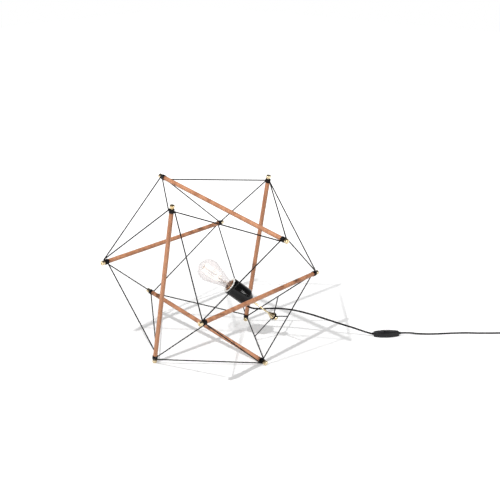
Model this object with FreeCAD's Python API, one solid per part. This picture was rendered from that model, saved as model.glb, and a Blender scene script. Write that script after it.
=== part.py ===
import FreeCAD, Part
import math
import os
from FreeCAD import Placement, Rotation, Vector

# A floor lamp: a cage of six wooden dowels held apart by eight black wire frames, with a bulb inside.
# Row frame in millimetres: X along the front and back dowels, Z up, the front towards -Y.
# The origin is on the floor, straight below the middle of the cage.

# Cage
dowel_length = 440.0
dowel_d = 12.4
dowel_spacing = 378.0  # between the centre lines of two parallel dowels
dowel_hole_depth = 15.0
dowel_end_bevel = 0.6

disc_d = 15.0  # steel disc at each corner of a wire frame, threaded on the knob's screw
disc_height = 4.8
disc_bore = 6.4
rod_d = 3.3  # wire of the frames
bead_d = 4.0  # weld bead on each disc's rim, where the two wires of that corner meet
bead_reach = 8.6  # from the screw's axis to the middle of the bead
bead_level = 2.7  # from the seam between two stacked discs
bead_turns = {  # degrees that the pair of discs is turned on each screw, measured off the photo
    "back of top": 0,
    "top of right": -68,
    "top of left": 16,
    "left of back": 6,
    "right of back": -3,
    "front of top": -20,
    "right of front": -11,
    "back of bottom": -2,
    "left of front": 47,
    "foot of right": -5,
    "foot of left": 30,
    "front of bottom": -30,
}

# Turned brass knob at each end of a dowel, with its screw in one piece
neck_d = 9.6
neck_length = 3.4
head_d = 13.0
head_length = 8.4
head_bevel = 1.3
dimple_d = 4.0
dimple_depth = 1.2
screw_d = 6.0
screw_in_dowel = 13.0
screw_clearance = 0.05

# Lamp holder on the lower front right frame; heights are measured along its axis from the frame
lamp_droop = 2.7  # degrees that the holder hangs below the frame's own axis
spoke_d = 3.0
collar_d = 22.0
collar_height = 5.0
stem_d = 5.0
stem_clearance = 0.2
stem_in_knob = 9.0
cone_base_d = 21.0
cone_top_d = 7.4
cone_height = 17.0
cone_waist = 1.6  # how far the cone's side is hollowed
union_d = 11.0
union_height = 14.0
union_in_socket = 3.0

# Porcelain holder for an E27 bulb
socket_base_height = 88.9
socket_d = 49.0
socket_length = 54.0
taper_length = 22.0
taper_base_d = 27.0
socket_edge = 1.5
insert_d = 44.0
insert_bore = 33.0
insert_depth = 34.0
insert_gap = 0.15
shell_d = 29.4
shell_wall = 0.8
shell_depth = 28.0
shell_lip = 3.0
contact_d = 12.0
contact_height = 3.0

# Bulb with an E27 cap
cap_d = 26.4
cap_length = 24.0
cap_wall = 0.6
cap_nose_length = 3.0
cap_nose_d = 14.0
button_d = 9.0
button_height = 1.6
button_gap = 0.05
glass_wall = 0.9
glass_d = 64.0
glass_neck_d = 25.0
glass_neck_curve = 30.0  # radius of the hollow where the neck widens into the flank
glass_seat = 4.0  # how far the neck goes into the cap
glass_widest = 82.0  # height of the widest ring above the rim of the holder
nipple_length = 2.5
nipple_d = 5.0
mount_d = 9.0
mount_length = 40.0
post_d = 1.6
post_length = 74.0
filament_d = 0.9
filament_circle_d = 20.0
filament_bottom = 22.0
filament_top = 88.0
filament_loops = 6  # even, so that both of its ends are at the bottom
lead_d = 0.8  # the two wires that bring the current to the filament's ends
lead_start = 4.0  # below the top of the glass stem
hook_d = 0.6  # wires that hold the filament's other bends on the post
wire_gap = 0.3  # between two wires that touch
bulb_play = 0.25  # between the cap's button and the contact when screwed home

# Cord outlet at the side of the holder
gland_height = 8.0  # above the start of the taper
gland_angle = -62.0  # round the lamp axis from its lowest side
gland_length = 20.0
gland_d = 10.0
gland_tip_d = 7.0
gland_in_socket = 4.0

# Cord
cord_d = 5.0
route_to_switch = [
    (106.0, -25.5, 108.2),
    (122.1, -23.0, 86.6),
    (139.9, -30.9, 77.0),
    (155.7, -50.3, 76.5),
    (160.0, -66.0, 80.5),
    (174.0, -85.0, 82.3),
    (187.0, -109.0, 83.3),
    (204.0, -137.0, 80.5),
    (222.0, -164.0, 73.7),
    (242.0, -189.0, 64.0),
    (262.0, -213.5, 53.0),
    (279.0, -234.0, 44.0),
    (296.0, -254.0, 35.0),
    (312.0, -270.0, 27.0),
    (325.0, -284.0, 19.5),
    (335.0, -297.0, 14.0),
]
route_on_floor = [
    (424.0, -391.0, 9.4),
    (440.0, -404.5, 4.6),
    (462.0, -427.0, 2.7),
    (484.0, -450.5, 2.6),
    (513.0, -476.0, 2.6),
    (545.0, -509.0, 2.6),
    (571.0, -543.0, 2.6),
    (602.0, -577.0, 2.6),
    (628.0, -606.0, 3.0),
]
floor_cord_end = (656.0, -634.0, 3.8)

coil_turns = 5.0
coil_mean_d = 55.0
coil_pitch = 5.9  # from one turn to the next
coil_layer_step = 5.7
coil_tail = 22.0  # straight cord between the last turn and the plug
tie_thickness = 0.9
tie_width = 12.0
tie_gap = 0.4
tie_angle = 235.0
floor_gap = 0.02

# Switch on the cord
switch_start = (349.0, -315.0)
switch_end = (401.5, -368.5)
switch_width = 26.0
switch_end_width = 10.0
switch_base_height = 9.5
switch_cover_height = 6.5
switch_edge = 3.5
switch_wall = 2.0
switch_hollow_length = 44.0
switch_hollow_width = 12.0
bush_length = 6.0
bush_d = 8.0
bush_tip_d = 6.4
bush_seat = 3.0
rocker_length = 16.0
rocker_width = 9.4
rocker_gap = 0.3
rocker_end_gap = 0.75
rocker_pin_d = 2.5
rocker_pin_clearance = 0.06
rocker_pin_height = 12.0
rocker_pin_length = 16.0
rocker_rise = 1.8
rocker_depth = 4.5
rocker_tilt = 8.0  # degrees each way
contact_strip_width = 4.0
contact_strip_thickness = 0.8
contact_strip_length = 14.0

# Two-pin plug
plug_width = 35.0
plug_thickness = 13.7
plug_length = 36.0
plug_nose_width = 26.0
plug_edge = 2.0
plug_boot_length = 22.0
plug_boot_d = 10.0
plug_boot_tip_d = 7.0
plug_boot_seat = 4.0
pin_d = 4.0
pin_length = 19.0
pin_seat = 8.0
pin_shank_d = 3.0
pin_sleeve_d = 3.5
pin_sleeve_length = 10.0
pin_spacing = 18.6

up = Vector(0, 0, 1)
origin = Vector(0, 0, 0)
half_joint = dowel_length / 2 + disc_height
half_spacing = dowel_spacing / 2
knob_reach = half_joint + disc_height + neck_length + head_length


def cylinder(diameter, length, base=origin, axis=up):
    return Part.makeCylinder(diameter / 2, length, base, axis)


def cone(base_d, top_d, length, base=origin, axis=up):
    return Part.makeCone(base_d / 2, top_d / 2, length, base, axis)


def turned(profile):
    """A full turn about Z of a closed profile of radius and height pairs."""
    points = [Vector(r, 0, z) for r, z in profile]
    face = Part.Face(Part.makePolygon(points + points[:1]))
    return face.revolve(origin, up, 360)


def turned_edges(edges):
    """A full turn about Z of a closed profile of lines and arcs in the XZ plane."""
    return Part.Face(Part.Wire(edges)).revolve(origin, up, 360)


def line(a, b):
    return Part.LineSegment(Vector(a[0], 0, a[1]), Vector(b[0], 0, b[1])).toShape()


def arc(a, middle, b):
    return Part.Arc(Vector(a[0], 0, a[1]), Vector(middle[0], 0, middle[1]), Vector(b[0], 0, b[1])).toShape()


def unit(v):
    return Vector(v).multiply(1 / v.Length)


def along(base, axis, distance):
    return base + Vector(axis).multiply(distance)


def foot_drop(tilt):
    """How far the lowest point of an upright's foot knob lies below the middle of the cage."""
    face, side = knob_reach, knob_reach - head_bevel
    return max(
        face * math.cos(tilt) + (head_d / 2 - head_bevel) * math.sin(tilt),
        side * math.cos(tilt) + head_d / 2 * math.sin(tilt),
    )


def front_drop(tilt):
    """The same for the knob at the front end of the bottom dowel, which lies on its side."""
    face, side = knob_reach, knob_reach - head_bevel
    return max(
        face * math.sin(tilt) + (half_spacing + head_d / 2 - head_bevel) * math.cos(tilt),
        side * math.sin(tilt) + (half_spacing + head_d / 2) * math.cos(tilt),
    )


def resting_tilt():
    """The lean, in radians about X, at which the three knobs under the cage are level."""
    low, high = 0.0, math.radians(25)
    for _ in range(60):
        tilt = (low + high) / 2
        if foot_drop(tilt) > front_drop(tilt):
            low = tilt
        else:
            high = tilt
    return low


rest_tilt = resting_tilt()
cage_middle = Vector(0, 0, foot_drop(rest_tilt))
cage_turn = Rotation(Vector(1, 0, 0), math.degrees(rest_tilt))
cage_place = Placement(cage_middle, cage_turn)


def placed(shape, placement):
    """The shape moved into place, with its new position in its own geometry."""
    return shape.transformed(placement.toMatrix(), True)


# Dowels, each with the middle of its length and its direction
dowels = {
    "right": (Vector(half_spacing, 0, 0), Vector(0, 0, 1)),
    "left": (Vector(-half_spacing, 0, 0), Vector(0, 0, 1)),
    "front": (Vector(0, -half_spacing, 0), Vector(1, 0, 0)),
    "back": (Vector(0, half_spacing, 0), Vector(1, 0, 0)),
    "top": (Vector(0, 0, half_spacing), Vector(0, 1, 0)),
    "bottom": (Vector(0, 0, -half_spacing), Vector(0, 1, 0)),
}


def dowel(middle, axis):
    bevel = dowel_end_bevel
    half = dowel_length / 2
    hole = screw_d / 2 + screw_clearance
    body = turned([
        (hole, half - dowel_hole_depth),
        (hole, half),
        (dowel_d / 2 - bevel, half),
        (dowel_d / 2, half - bevel),
        (dowel_d / 2, -half + bevel),
        (dowel_d / 2 - bevel, -half),
        (hole, -half),
        (hole, -half + dowel_hole_depth),
        (0, -half + dowel_hole_depth),
        (0, half - dowel_hole_depth),
    ])
    return placed(body, Placement(middle, Rotation(up, axis)))


def knob(joint, outward):
    """A brass knob with its screw, at the joint in the middle of two stacked discs."""
    start = disc_height
    neck_end = start + neck_length
    head_end = neck_end + head_length
    body = turned([
        (0, -disc_height - screw_in_dowel),
        (screw_d / 2, -disc_height - screw_in_dowel),
        (screw_d / 2, start),
        (neck_d / 2, start),
        (neck_d / 2, neck_end),
        (head_d / 2 - head_bevel / 2, neck_end),
        (head_d / 2, neck_end + head_bevel / 2),
        (head_d / 2, head_end - head_bevel),
        (head_d / 2 - head_bevel, head_end),
        (dimple_d / 2, head_end),
        (0, head_end - dimple_depth),
    ])
    return placed(body, Placement(joint, Rotation(up, outward)))


def frame_joints(side_x, side_y, side_z):
    """The three joints at the corners of the wire frame in one octant, with their outward directions."""
    upright, across, beside = dowel_names(side_x, side_y, side_z)
    return [
        (Vector(side_x * half_spacing, 0, side_z * half_joint), Vector(0, 0, side_z), bead_turns[upright]),
        (Vector(side_x * half_joint, side_y * half_spacing, 0), Vector(side_x, 0, 0), bead_turns[across]),
        (Vector(0, side_y * half_joint, side_z * half_spacing), Vector(0, side_y, 0), bead_turns[beside]),
    ]


def dowel_names(side_x, side_y, side_z):
    hand = "right" if side_x > 0 else "left"
    depth = "back" if side_y > 0 else "front"
    level = "top" if side_z > 0 else "bottom"
    end = "top" if side_z > 0 else "foot"
    return end + " of " + hand, hand + " of " + depth, depth + " of " + level


def is_outer(sides):
    """Frames in neighbouring octants take turns to lie outside and inside at each joint."""
    return sides[0] * sides[1] * sides[2] < 0


def disc_base(joint, outward, sides):
    return joint if is_outer(sides) else along(joint, outward, -disc_height)


def bead(joint, outward, turn, sides):
    """The corner of a wire frame: on one disc's rim, opposite to the other disc's bead."""
    if is_outer(sides):
        level, reach, octant = bead_level, bead_reach, Vector(*sides)
    else:
        level, reach, octant = -bead_level, -bead_reach, opposite_octant(outward, sides)
    level_part = octant.dot(outward)
    radial = unit(along(octant, outward, -level_part))
    radial = Rotation(outward, turn).multVec(radial)
    return along(along(joint, outward, level), radial, reach)


def opposite_octant(outward, sides):
    """The octant of the outer frame that shares this joint."""
    x, y, z = sides
    if outward.z:
        return Vector(x, -y, z)
    if outward.x:
        return Vector(x, y, -z)
    return Vector(-x, y, z)


def frame_corners(sides):
    return [bead(joint, outward, turn, sides) for joint, outward, turn in frame_joints(*sides)]


def frame_ends(sides):
    """The two ends of the centre line of each of a frame's three wires."""
    corners = frame_corners(sides)
    return [(corners[i], corners[(i + 1) % 3]) for i in range(3)]


def wire_frame(sides):
    """A triangle of three wires welded to a disc at each corner, in cage axes."""
    pieces = [cylinder(rod_d, (b - a).Length, a, b - a) for a, b in frame_ends(sides)]
    for corner, (joint, outward, _) in zip(frame_corners(sides), frame_joints(*sides)):
        base = disc_base(joint, outward, sides)
        ring = cylinder(disc_d, disc_height, base, outward).cut(cylinder(disc_bore, disc_height, base, outward))
        pieces += [ring, Part.makeSphere(bead_d / 2, corner, corner - joint)]
    return pieces[0].fuse(pieces[1:]).removeSplitter()


# Lamp holder, modelled upright on its own axis, which starts in the middle of the lower front right frame
lamp_sides = (1, -1, -1)
lamp_wire_middles = [(a + b) * 0.5 for a, b in frame_ends(lamp_sides)]
hub = (lamp_wire_middles[0] + lamp_wire_middles[1] + lamp_wire_middles[2]) * (1 / 3)


def lamp_placement():
    """From the lamp's own axes to cage axes: Z along the lamp, X to its lowest side."""
    inward = unit(hub * -1)
    down = cage_turn.inverted().multVec(Vector(0, 0, -1))
    sideways = unit(inward.cross(down))
    axis = Rotation(sideways, lamp_droop).multVec(inward)
    low = unit(down - Vector(axis).multiply(down.dot(axis)))
    side = axis.cross(low)
    turn = Rotation(low, side, axis, "ZXY")
    return Placement(hub, turn)


lamp_place = lamp_placement()
lamp_in_row = cage_place.multiply(lamp_place)
collar_half = collar_height / 2
socket_rim = socket_base_height + taper_length + socket_length
shell_bottom = socket_rim - shell_depth
contact_top = shell_bottom + contact_height
button_bottom = contact_top + bulb_play
cap_bottom = button_bottom + button_height + button_gap
cap_skirt = cap_bottom + cap_nose_length
cap_top = cap_skirt + cap_length


def spider():
    """The collar and the three spokes that hold it to the middles of the lamp frame's wires, in cage axes."""
    collar = placed(cylinder(collar_d, collar_height, Vector(0, 0, -collar_half)), lamp_place)
    spokes = []
    for middle in lamp_wire_middles:
        spokes.append(cylinder(spoke_d, (middle - hub).Length, hub, middle - hub))
    hole = cylinder(stem_d + 2 * stem_clearance, 2 * collar_height, Vector(0, 0, -collar_height))
    wires = [cylinder(rod_d, (b - a).Length, a, b - a) for a, b in frame_ends(lamp_sides)]
    body = collar.fuse(spokes).cut([placed(hole, lamp_place)] + wires)
    return max(body.removeSplitter().Solids, key=lambda solid: solid.Volume)


def hub_knob():
    top = -collar_half
    neck_end = top - neck_length / 2
    head_end = neck_end - head_length
    bore = stem_d / 2 + screw_clearance
    return turned([
        (bore, top),
        (neck_d / 2, top),
        (neck_d / 2, neck_end),
        (head_d / 2 - head_bevel / 2, neck_end),
        (head_d / 2, neck_end - head_bevel / 2),
        (head_d / 2, head_end + head_bevel),
        (head_d / 2 - head_bevel, head_end),
        (0, head_end),
        (0, top - stem_in_knob),
        (bore, top - stem_in_knob),
    ])


def hub_cone():
    bottom = collar_half
    top = bottom + cone_height
    bore = stem_d / 2 + screw_clearance
    base, tip = cone_base_d / 2, cone_top_d / 2
    middle = ((base + tip) / 2 - cone_waist, bottom + cone_height / 2)
    return turned_edges([
        line((bore, bottom), (base, bottom)),
        line((base, bottom), (base, bottom + 1)),
        arc((base, bottom + 1), middle, (tip, top)),
        line((tip, top), (bore, top)),
        line((bore, top), (bore, bottom)),
    ])


def stem():
    low = -collar_half - stem_in_knob + stem_clearance
    return cylinder(stem_d, socket_base_height + union_in_socket - low, Vector(0, 0, low))


def socket_union():
    """The turned brass nipple that the stem screws into, its upper end in the foot of the holder."""
    bore = stem_d / 2 + screw_clearance
    low = socket_base_height - union_height
    high = socket_base_height
    return turned([
        (bore, low),
        (union_d / 2 - 1, low),
        (union_d / 2, low + 2),
        (union_d / 2, high),
        (union_d / 2 - 1.5, high),
        (union_d / 2 - 1.5, high + union_in_socket),
        (bore, high + union_in_socket),
    ])


def gland_frame():
    """Where the cord leaves the holder's taper, and the direction in which it does, in lamp axes."""
    share = gland_height / taper_length
    radius = taper_base_d / 2 + share * (socket_d - taper_base_d) / 2
    round_axis = Rotation(up, gland_angle)
    base = round_axis.multVec(Vector(radius, 0, socket_base_height + gland_height))
    slope = Vector(taper_length, 0, -(socket_d - taper_base_d) / 2)
    return base, unit(round_axis.multVec(slope))


def socket_body():
    """Black porcelain: a cylinder with a tapered foot, hollow for the insert, bored for union and cord."""
    low, high = socket_base_height, socket_rim
    wall = insert_d / 2 + insert_gap
    body = turned([
        (0, low),
        (taper_base_d / 2, low),
        (socket_d / 2, low + taper_length),
        (socket_d / 2, high - socket_edge),
        (socket_d / 2 - socket_edge, high),
        (wall, high),
        (wall, high - insert_depth),
        (0, high - insert_depth),
    ])
    base, out = gland_frame()
    cord_hole = cylinder(gland_tip_d + 2 * insert_gap, gland_in_socket, along(base, out, -gland_in_socket), out)
    union_hole = cylinder(union_d - 3 + 2 * screw_clearance, union_in_socket, Vector(0, 0, low))
    return body.cut([cord_hole, union_hole])


def socket_insert():
    """White porcelain ring in the mouth of the holder, with the seat of the threaded shell."""
    high = socket_rim - 0.6
    low = socket_rim - insert_depth
    lip = insert_bore / 2
    seat = shell_d / 2 + insert_gap
    return turned([
        (seat, low),
        (insert_d / 2, low),
        (insert_d / 2, high - 1),
        (insert_d / 2 - 1, high),
        (lip, high),
        (seat, high - shell_lip),
    ])


def socket_shell():
    """Brass shell that the bulb's cap screws into; its thread is left plain."""
    out, high = shell_d / 2, socket_rim - 0.6 - shell_lip
    return turned([
        (0, shell_bottom - shell_wall),
        (out, shell_bottom - shell_wall),
        (out, high),
        (insert_bore / 2 - insert_gap, high + shell_lip),
        (insert_bore / 2 - insert_gap - shell_wall, high + shell_lip),
        (out - shell_wall, high),
        (out - shell_wall, shell_bottom),
        (0, shell_bottom),
    ])


def socket_contact():
    return turned([
        (0, shell_bottom),
        (contact_d / 2, shell_bottom),
        (contact_d / 2, shell_bottom + contact_height / 3),
        (contact_d / 4, contact_top),
        (0, contact_top),
    ])


def bulb_button():
    return turned([
        (0, button_bottom),
        (button_d / 4, button_bottom),
        (button_d / 2, button_bottom + button_height),
        (0, button_bottom + button_height),
    ])


def bulb_cap():
    """Brass screw cap, closed at its foot by the black glass insulator."""
    out = cap_d / 2
    return turned([
        (0, cap_bottom),
        (cap_nose_d / 2, cap_bottom),
        (out, cap_skirt),
        (out, cap_top),
        (out - cap_wall, cap_top),
        (out - cap_wall, cap_skirt + cap_wall),
        (0, cap_skirt + cap_wall),
    ])


def glass_outline(inset, pole_r):
    """The bulb's profile: a neck that curves out into a straight flank, and a round crown."""
    neck = glass_neck_d / 2 - inset
    hollow = glass_neck_curve + inset
    ball = glass_d / 2 - inset
    bend = cap_top + 1
    widest = socket_rim + glass_widest
    across, rise = neck + hollow, widest - bend
    slope = math.atan2(rise, across) - math.acos((ball + hollow) / math.hypot(across, rise))
    neck_curve = [
        (across - hollow * math.cos(a), bend + hollow * math.sin(a)) for a in (0, slope / 2, slope)
    ]
    pole_angle = math.acos(pole_r / ball)
    crown = [
        (ball * math.cos(a), widest + ball * math.sin(a)) for a in (-slope, (pole_angle - slope) / 2, pole_angle)
    ]
    return [
        line((neck, cap_top - glass_seat), neck_curve[0]),
        arc(*neck_curve),
        line(neck_curve[-1], crown[0]),
        arc(*crown),
    ], crown[-1]


def bulb_glass():
    """Closed glass envelope with a small nipple at its tip, open at the neck inside the cap."""
    low = cap_top - glass_seat
    neck = glass_neck_d / 2
    outer, tip = glass_outline(0, nipple_d / 2)
    inner, top = glass_outline(glass_wall, nipple_d / 4)
    peak = tip[1] + nipple_length
    return turned_edges(
        [line((neck - glass_wall, low), (neck, low))]
        + outer
        + [
            line(tip, (nipple_d / 4, peak)),
            line((nipple_d / 4, peak), (0, peak)),
            line((0, peak), (0, top[1])),
            line((0, top[1]), top),
        ]
        + inner[::-1]
    )


def bulb_mount():
    """Glass stem that rises from the cap inside the bulb, pinched flat where it holds the wires."""
    low = cap_skirt + cap_wall
    return turned([
        (0, low),
        (mount_d / 2 + 3, low),
        (mount_d / 2, low + 12),
        (mount_d / 3, low + mount_length),
        (post_d / 2, low + mount_length + 1),
        (post_d / 2, low + mount_length + post_length),
        (0, low + mount_length + post_length),
    ])


def filament_bends():
    """The bends of the filament's wire in order, from its one end to the other."""
    low = cap_top + filament_bottom
    high = cap_top + filament_top
    bends = []
    for i in range(filament_loops):
        angle = 2 * math.pi * i / filament_loops
        for height in (low, high) if i % 2 == 0 else (high, low):
            reach = filament_circle_d / 2 * (1.0 if height == low else 0.72)
            bends.append(Vector(reach * math.cos(angle), reach * math.sin(angle), height))
    return bends


def bulb_filament():
    """One wire that goes up and down round the post, like the bars of a birdcage."""
    bends = filament_bends()
    bars = [cylinder(filament_d, (b - a).Length, a, b - a) for a, b in zip(bends, bends[1:])]
    balls = [Part.makeSphere(filament_d / 2, bend) for bend in bends[1:-1]]
    return bars[0].fuse(bars[1:] + balls).removeSplitter()


def bulb_leads():
    """Two wires that come out of the glass stem and carry the filament's ends."""
    leads = []
    for end in (filament_bends()[0], filament_bends()[-1]):
        outward = unit(Vector(end.x, end.y, 0))
        start = outward * (mount_d / 3 + lead_d) + up * (cap_skirt + cap_wall + mount_length - lead_start)
        reach = (end - start).Length - filament_d / 2 - wire_gap
        leads.append(cylinder(lead_d, reach, start, end - start))
    return Part.makeCompound(leads)


def bulb_hooks():
    """Stiff wires out of the post, one to each bend between the filament's ends."""
    hooks = []
    for bend in filament_bends()[1:-1]:
        outward = unit(Vector(bend.x, bend.y, 0))
        root = post_d / 2 + screw_clearance
        reach = Vector(bend.x, bend.y, 0).Length - filament_d / 2 - wire_gap - root
        hooks.append(cylinder(hook_d, reach, outward * root + up * bend.z, outward))
    return Part.makeCompound(hooks)


def cord_gland():
    """Tapered rubber sleeve that carries the cord out of the holder."""
    base, out = gland_frame()
    foot = cylinder(gland_tip_d, gland_in_socket, along(base, out, -gland_in_socket), out)
    collar = cylinder(gland_d, 2, along(base, out, 1), out)
    seat = cylinder(gland_tip_d, 1, base, out)
    sleeve = cone(gland_d - 1, gland_tip_d, gland_length - 3, along(base, out, 3), out)
    return foot.fuse([seat, collar, sleeve]).removeSplitter()


def rounded_path(points):
    """Straight runs joined by tangent arcs, and the tightest bend radius of the arcs."""
    edges = []
    tightest = 1e9
    last = points[0]
    for i in range(1, len(points) - 1):
        a, b, c = points[i - 1], points[i], points[i + 1]
        before, after = unit(b - a), unit(c - b)
        half_turn = before.getAngle(after) / 2
        reach = 0.45 * min((b - a).Length, (c - b).Length)
        radius = reach / math.tan(half_turn)
        tightest = min(tightest, radius)
        start, end = along(b, before, -reach), along(b, after, reach)
        towards = unit((start + end) * 0.5 - b)
        middle = along(b, towards, radius / math.cos(half_turn) - radius)
        edges.append(Part.LineSegment(last, start).toShape())
        edges.append(Part.Arc(start, middle, end).toShape())
        last = end
    edges.append(Part.LineSegment(last, points[-1]).toShape())
    return edges, tightest


def tube(edges):
    """A round cord along a path of straight runs and arcs."""
    path = Part.Wire(edges)
    start = edges[0].Vertexes[0].Point
    heading = edges[0].tangentAt(edges[0].FirstParameter)
    section = Part.Wire(Part.makeCircle(cord_d / 2, start, heading))
    return path.makePipeShell([section], True, False)


def biarc(p0, t0, p1, t1):
    """Two arcs in a row from one point and direction to another."""
    v = p1 - p0
    t = t0 + t1
    a = 2 * (1 - t0.dot(t1))
    b = v.dot(t)
    d = (-b + math.sqrt(b * b + a * v.dot(v))) / a
    joint = (along(p0, t0, d) + along(p1, t1, -d)) * 0.5
    return [tangent_arc(p0, t0, joint), tangent_arc(p1, t1 * -1, joint, reverse=True)]


def tangent_arc(p, t, q, reverse=False):
    """The arc that leaves p in direction t and reaches q."""
    chord = q - p
    angle = t.getAngle(chord)
    side = unit(Vector(t).multiply(chord.dot(t)) - chord)
    bulge = unit(along(side, chord, -side.dot(chord) / chord.Length ** 2))
    middle = along((p + q) * 0.5, bulge, chord.Length / 2 * math.tan(angle / 2))
    ends = (q, p) if reverse else (p, q)
    return Part.Arc(ends[0], middle, ends[1]).toShape()


# Switch, modelled along X from its start, then turned and moved
switch_length = math.dist(switch_start, switch_end)
switch_heading = unit(Vector(switch_end[0] - switch_start[0], switch_end[1] - switch_start[1], 0))
switch_place = Placement(
    Vector((switch_start[0] + switch_end[0]) / 2, (switch_start[1] + switch_end[1]) / 2, 0),
    Rotation(Vector(1, 0, 0), switch_heading),
)
switch_height = switch_base_height + switch_cover_height
rocker_pivot = Vector(0, 0, rocker_pin_height)


def switch_block(low, high):
    """A slice of the switch's spindle-shaped outline between two heights."""
    x, y, wide = switch_length / 2, switch_end_width / 2, switch_width / 2
    corners = [Vector(-x, -y, low), Vector(x, -y, low), Vector(x, y, low), Vector(-x, y, low)]
    outline = Part.Wire([
        Part.Arc(corners[0], Vector(0, -wide, low), corners[1]).toShape(),
        Part.LineSegment(corners[1], corners[2]).toShape(),
        Part.Arc(corners[2], Vector(0, wide, low), corners[3]).toShape(),
        Part.LineSegment(corners[3], corners[0]).toShape(),
    ])
    return Part.Face(outline).extrude(Vector(0, 0, high - low))


def edges_at(shape, height):
    return [e for e in shape.Edges if all(abs(v.Z - height) < 1e-6 for v in e.Vertexes)]


def middle_box(length, width, low, high):
    return Part.makeBox(length, width, high - low, Vector(-length / 2, -width / 2, low))


def bush_seats():
    """Round holes in both ends of the switch, half in each shell, for the feet of the bushes."""
    hole = bush_tip_d + 2 * insert_gap
    seats = []
    for side in (-1, 1):
        start = Vector(side * (switch_length / 2 - bush_seat), 0, switch_base_height)
        seats.append(cylinder(hole, bush_seat, start, Vector(side, 0, 0)))
    return seats


def switch_base():
    block = switch_block(0, switch_base_height)
    block = block.makeChamfer(switch_edge, edges_at(block, 0))
    hollow = middle_box(switch_hollow_length, switch_hollow_width, switch_wall, switch_base_height)
    return placed(block.cut([hollow] + bush_seats()), switch_place)


def switch_cover():
    block = switch_block(switch_base_height, switch_height)
    block = block.makeChamfer(switch_edge, edges_at(block, switch_height))
    top = switch_height - switch_wall
    hollow = middle_box(switch_hollow_length, switch_hollow_width, switch_base_height, top)
    slot_length = rocker_length + 2 * rocker_end_gap
    slot = middle_box(slot_length, rocker_width + 2 * rocker_gap, top, switch_height)
    bore = cylinder(
        rocker_pin_d + 2 * screw_clearance,
        rocker_pin_length,
        Vector(0, -rocker_pin_length / 2, rocker_pin_height),
        Vector(0, 1, 0),
    )
    return placed(block.cut([hollow, slot, bore] + bush_seats()), switch_place)


def switch_rocker():
    """Rests with its far end pressed down."""
    x, top = rocker_length / 2, switch_height + rocker_rise
    low = rocker_pin_height - rocker_depth
    profile = [(-x, top), (0, top - 1), (x, top), (x, rocker_pin_height), (x / 3, low), (-x / 3, low),
               (-x, rocker_pin_height)]
    points = [Vector(a, -rocker_width / 2, z) for a, z in profile]
    body = Part.Face(Part.makePolygon(points + points[:1])).extrude(Vector(0, rocker_width, 0))
    bore_d = rocker_pin_d + 2 * rocker_pin_clearance
    bore = cylinder(bore_d, rocker_width, Vector(0, -rocker_width / 2, rocker_pin_height), Vector(0, 1, 0))
    body = body.cut(bore)
    body.rotate(rocker_pivot, Vector(0, 1, 0), rocker_tilt)
    return placed(body, switch_place)


def rocker_pin():
    start = Vector(0, -rocker_pin_length / 2, rocker_pin_height)
    return placed(cylinder(rocker_pin_d, rocker_pin_length, start, Vector(0, 1, 0)), switch_place)


def switch_contacts():
    strips = []
    for side in (-1, 1):
        start = side * switch_hollow_length / 4
        strips.append(Part.makeBox(
            contact_strip_length,
            contact_strip_width,
            contact_strip_thickness,
            Vector(start - contact_strip_length / 2, -contact_strip_width / 2, switch_wall),
        ))
    return placed(Part.makeCompound(strips), switch_place)


def switch_bushes():
    bushes = []
    for side in (-1, 1):
        out = Vector(side, 0, 0)
        start = Vector(side * switch_length / 2, 0, switch_base_height)
        foot = cylinder(bush_tip_d, bush_seat, along(start, out, -bush_seat), out)
        bushes.append(foot.fuse(cone(bush_d, bush_tip_d, bush_length, start, out)).removeSplitter())
    return placed(Part.makeCompound(bushes), switch_place)


def bush_tip(side):
    tip = Vector(side * (switch_length / 2 + bush_length), 0, switch_base_height)
    return switch_place.multVec(tip)


def cord_to_switch():
    base, out = gland_frame()
    tip = lamp_in_row.multVec(along(base, out, gland_length))
    points = [tip] + [Vector(*p) for p in route_to_switch] + [bush_tip(-1)]
    return points


def cord_on_floor():
    return [bush_tip(1)] + [Vector(*p) for p in route_on_floor] + [Vector(*floor_cord_end)]


# Coil of spare cord: two layers, spiralling in below and out above
coil_outer_r = coil_mean_d / 2 + coil_pitch * coil_turns / 4
coil_inner_r = coil_outer_r - coil_pitch * coil_turns / 2
coil_z = floor_cord_end[2]
coil_heading = math.atan2(floor_cord_end[1] - route_on_floor[-1][1], floor_cord_end[0] - route_on_floor[-1][0])
coil_lead = math.atan(coil_pitch / (2 * math.pi * coil_outer_r))
coil_start_angle = coil_heading + math.pi / 2 + coil_lead
coil_start = Vector(
    floor_cord_end[0] + cord_d * math.cos(coil_heading),
    floor_cord_end[1] + cord_d * math.sin(coil_heading),
    coil_z,
)
coil_middle = Vector(
    coil_start.x - coil_outer_r * math.cos(coil_start_angle),
    coil_start.y - coil_outer_r * math.sin(coil_start_angle),
    0,
)
plug_reach = plug_boot_length + plug_length


def coil_point(turn):
    """Place and direction of the coil's centre line after a number of clockwise turns."""
    half = coil_turns / 2
    angle = coil_start_angle - 2 * math.pi * turn
    radius = coil_inner_r + coil_pitch * abs(turn - half)
    growth = coil_pitch / (2 * math.pi) * (1 if turn > half else -1 if turn < half else 0)
    climb = min(max((turn - half) * 2 + 0.5, 0), 1)
    height = coil_z + coil_layer_step * climb * climb * (3 - 2 * climb)
    rise = 6 * climb * (1 - climb) * 2 * coil_layer_step / (2 * math.pi)
    out = Vector(math.cos(angle), math.sin(angle), 0)
    ahead = Vector(math.sin(angle), -math.cos(angle), 0)
    tangent = unit(along(along(Vector(ahead).multiply(radius), out, growth), up, rise))
    return along(along(coil_middle, out, radius), up, height), tangent


def plug_slope():
    """How steeply, in radians, the end of the coil falls so that the plug's pin end rests on the floor."""
    fall = coil_z + coil_layer_step - plug_thickness / 2 - floor_gap
    return math.asin(fall / (coil_tail + plug_reach))


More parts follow.
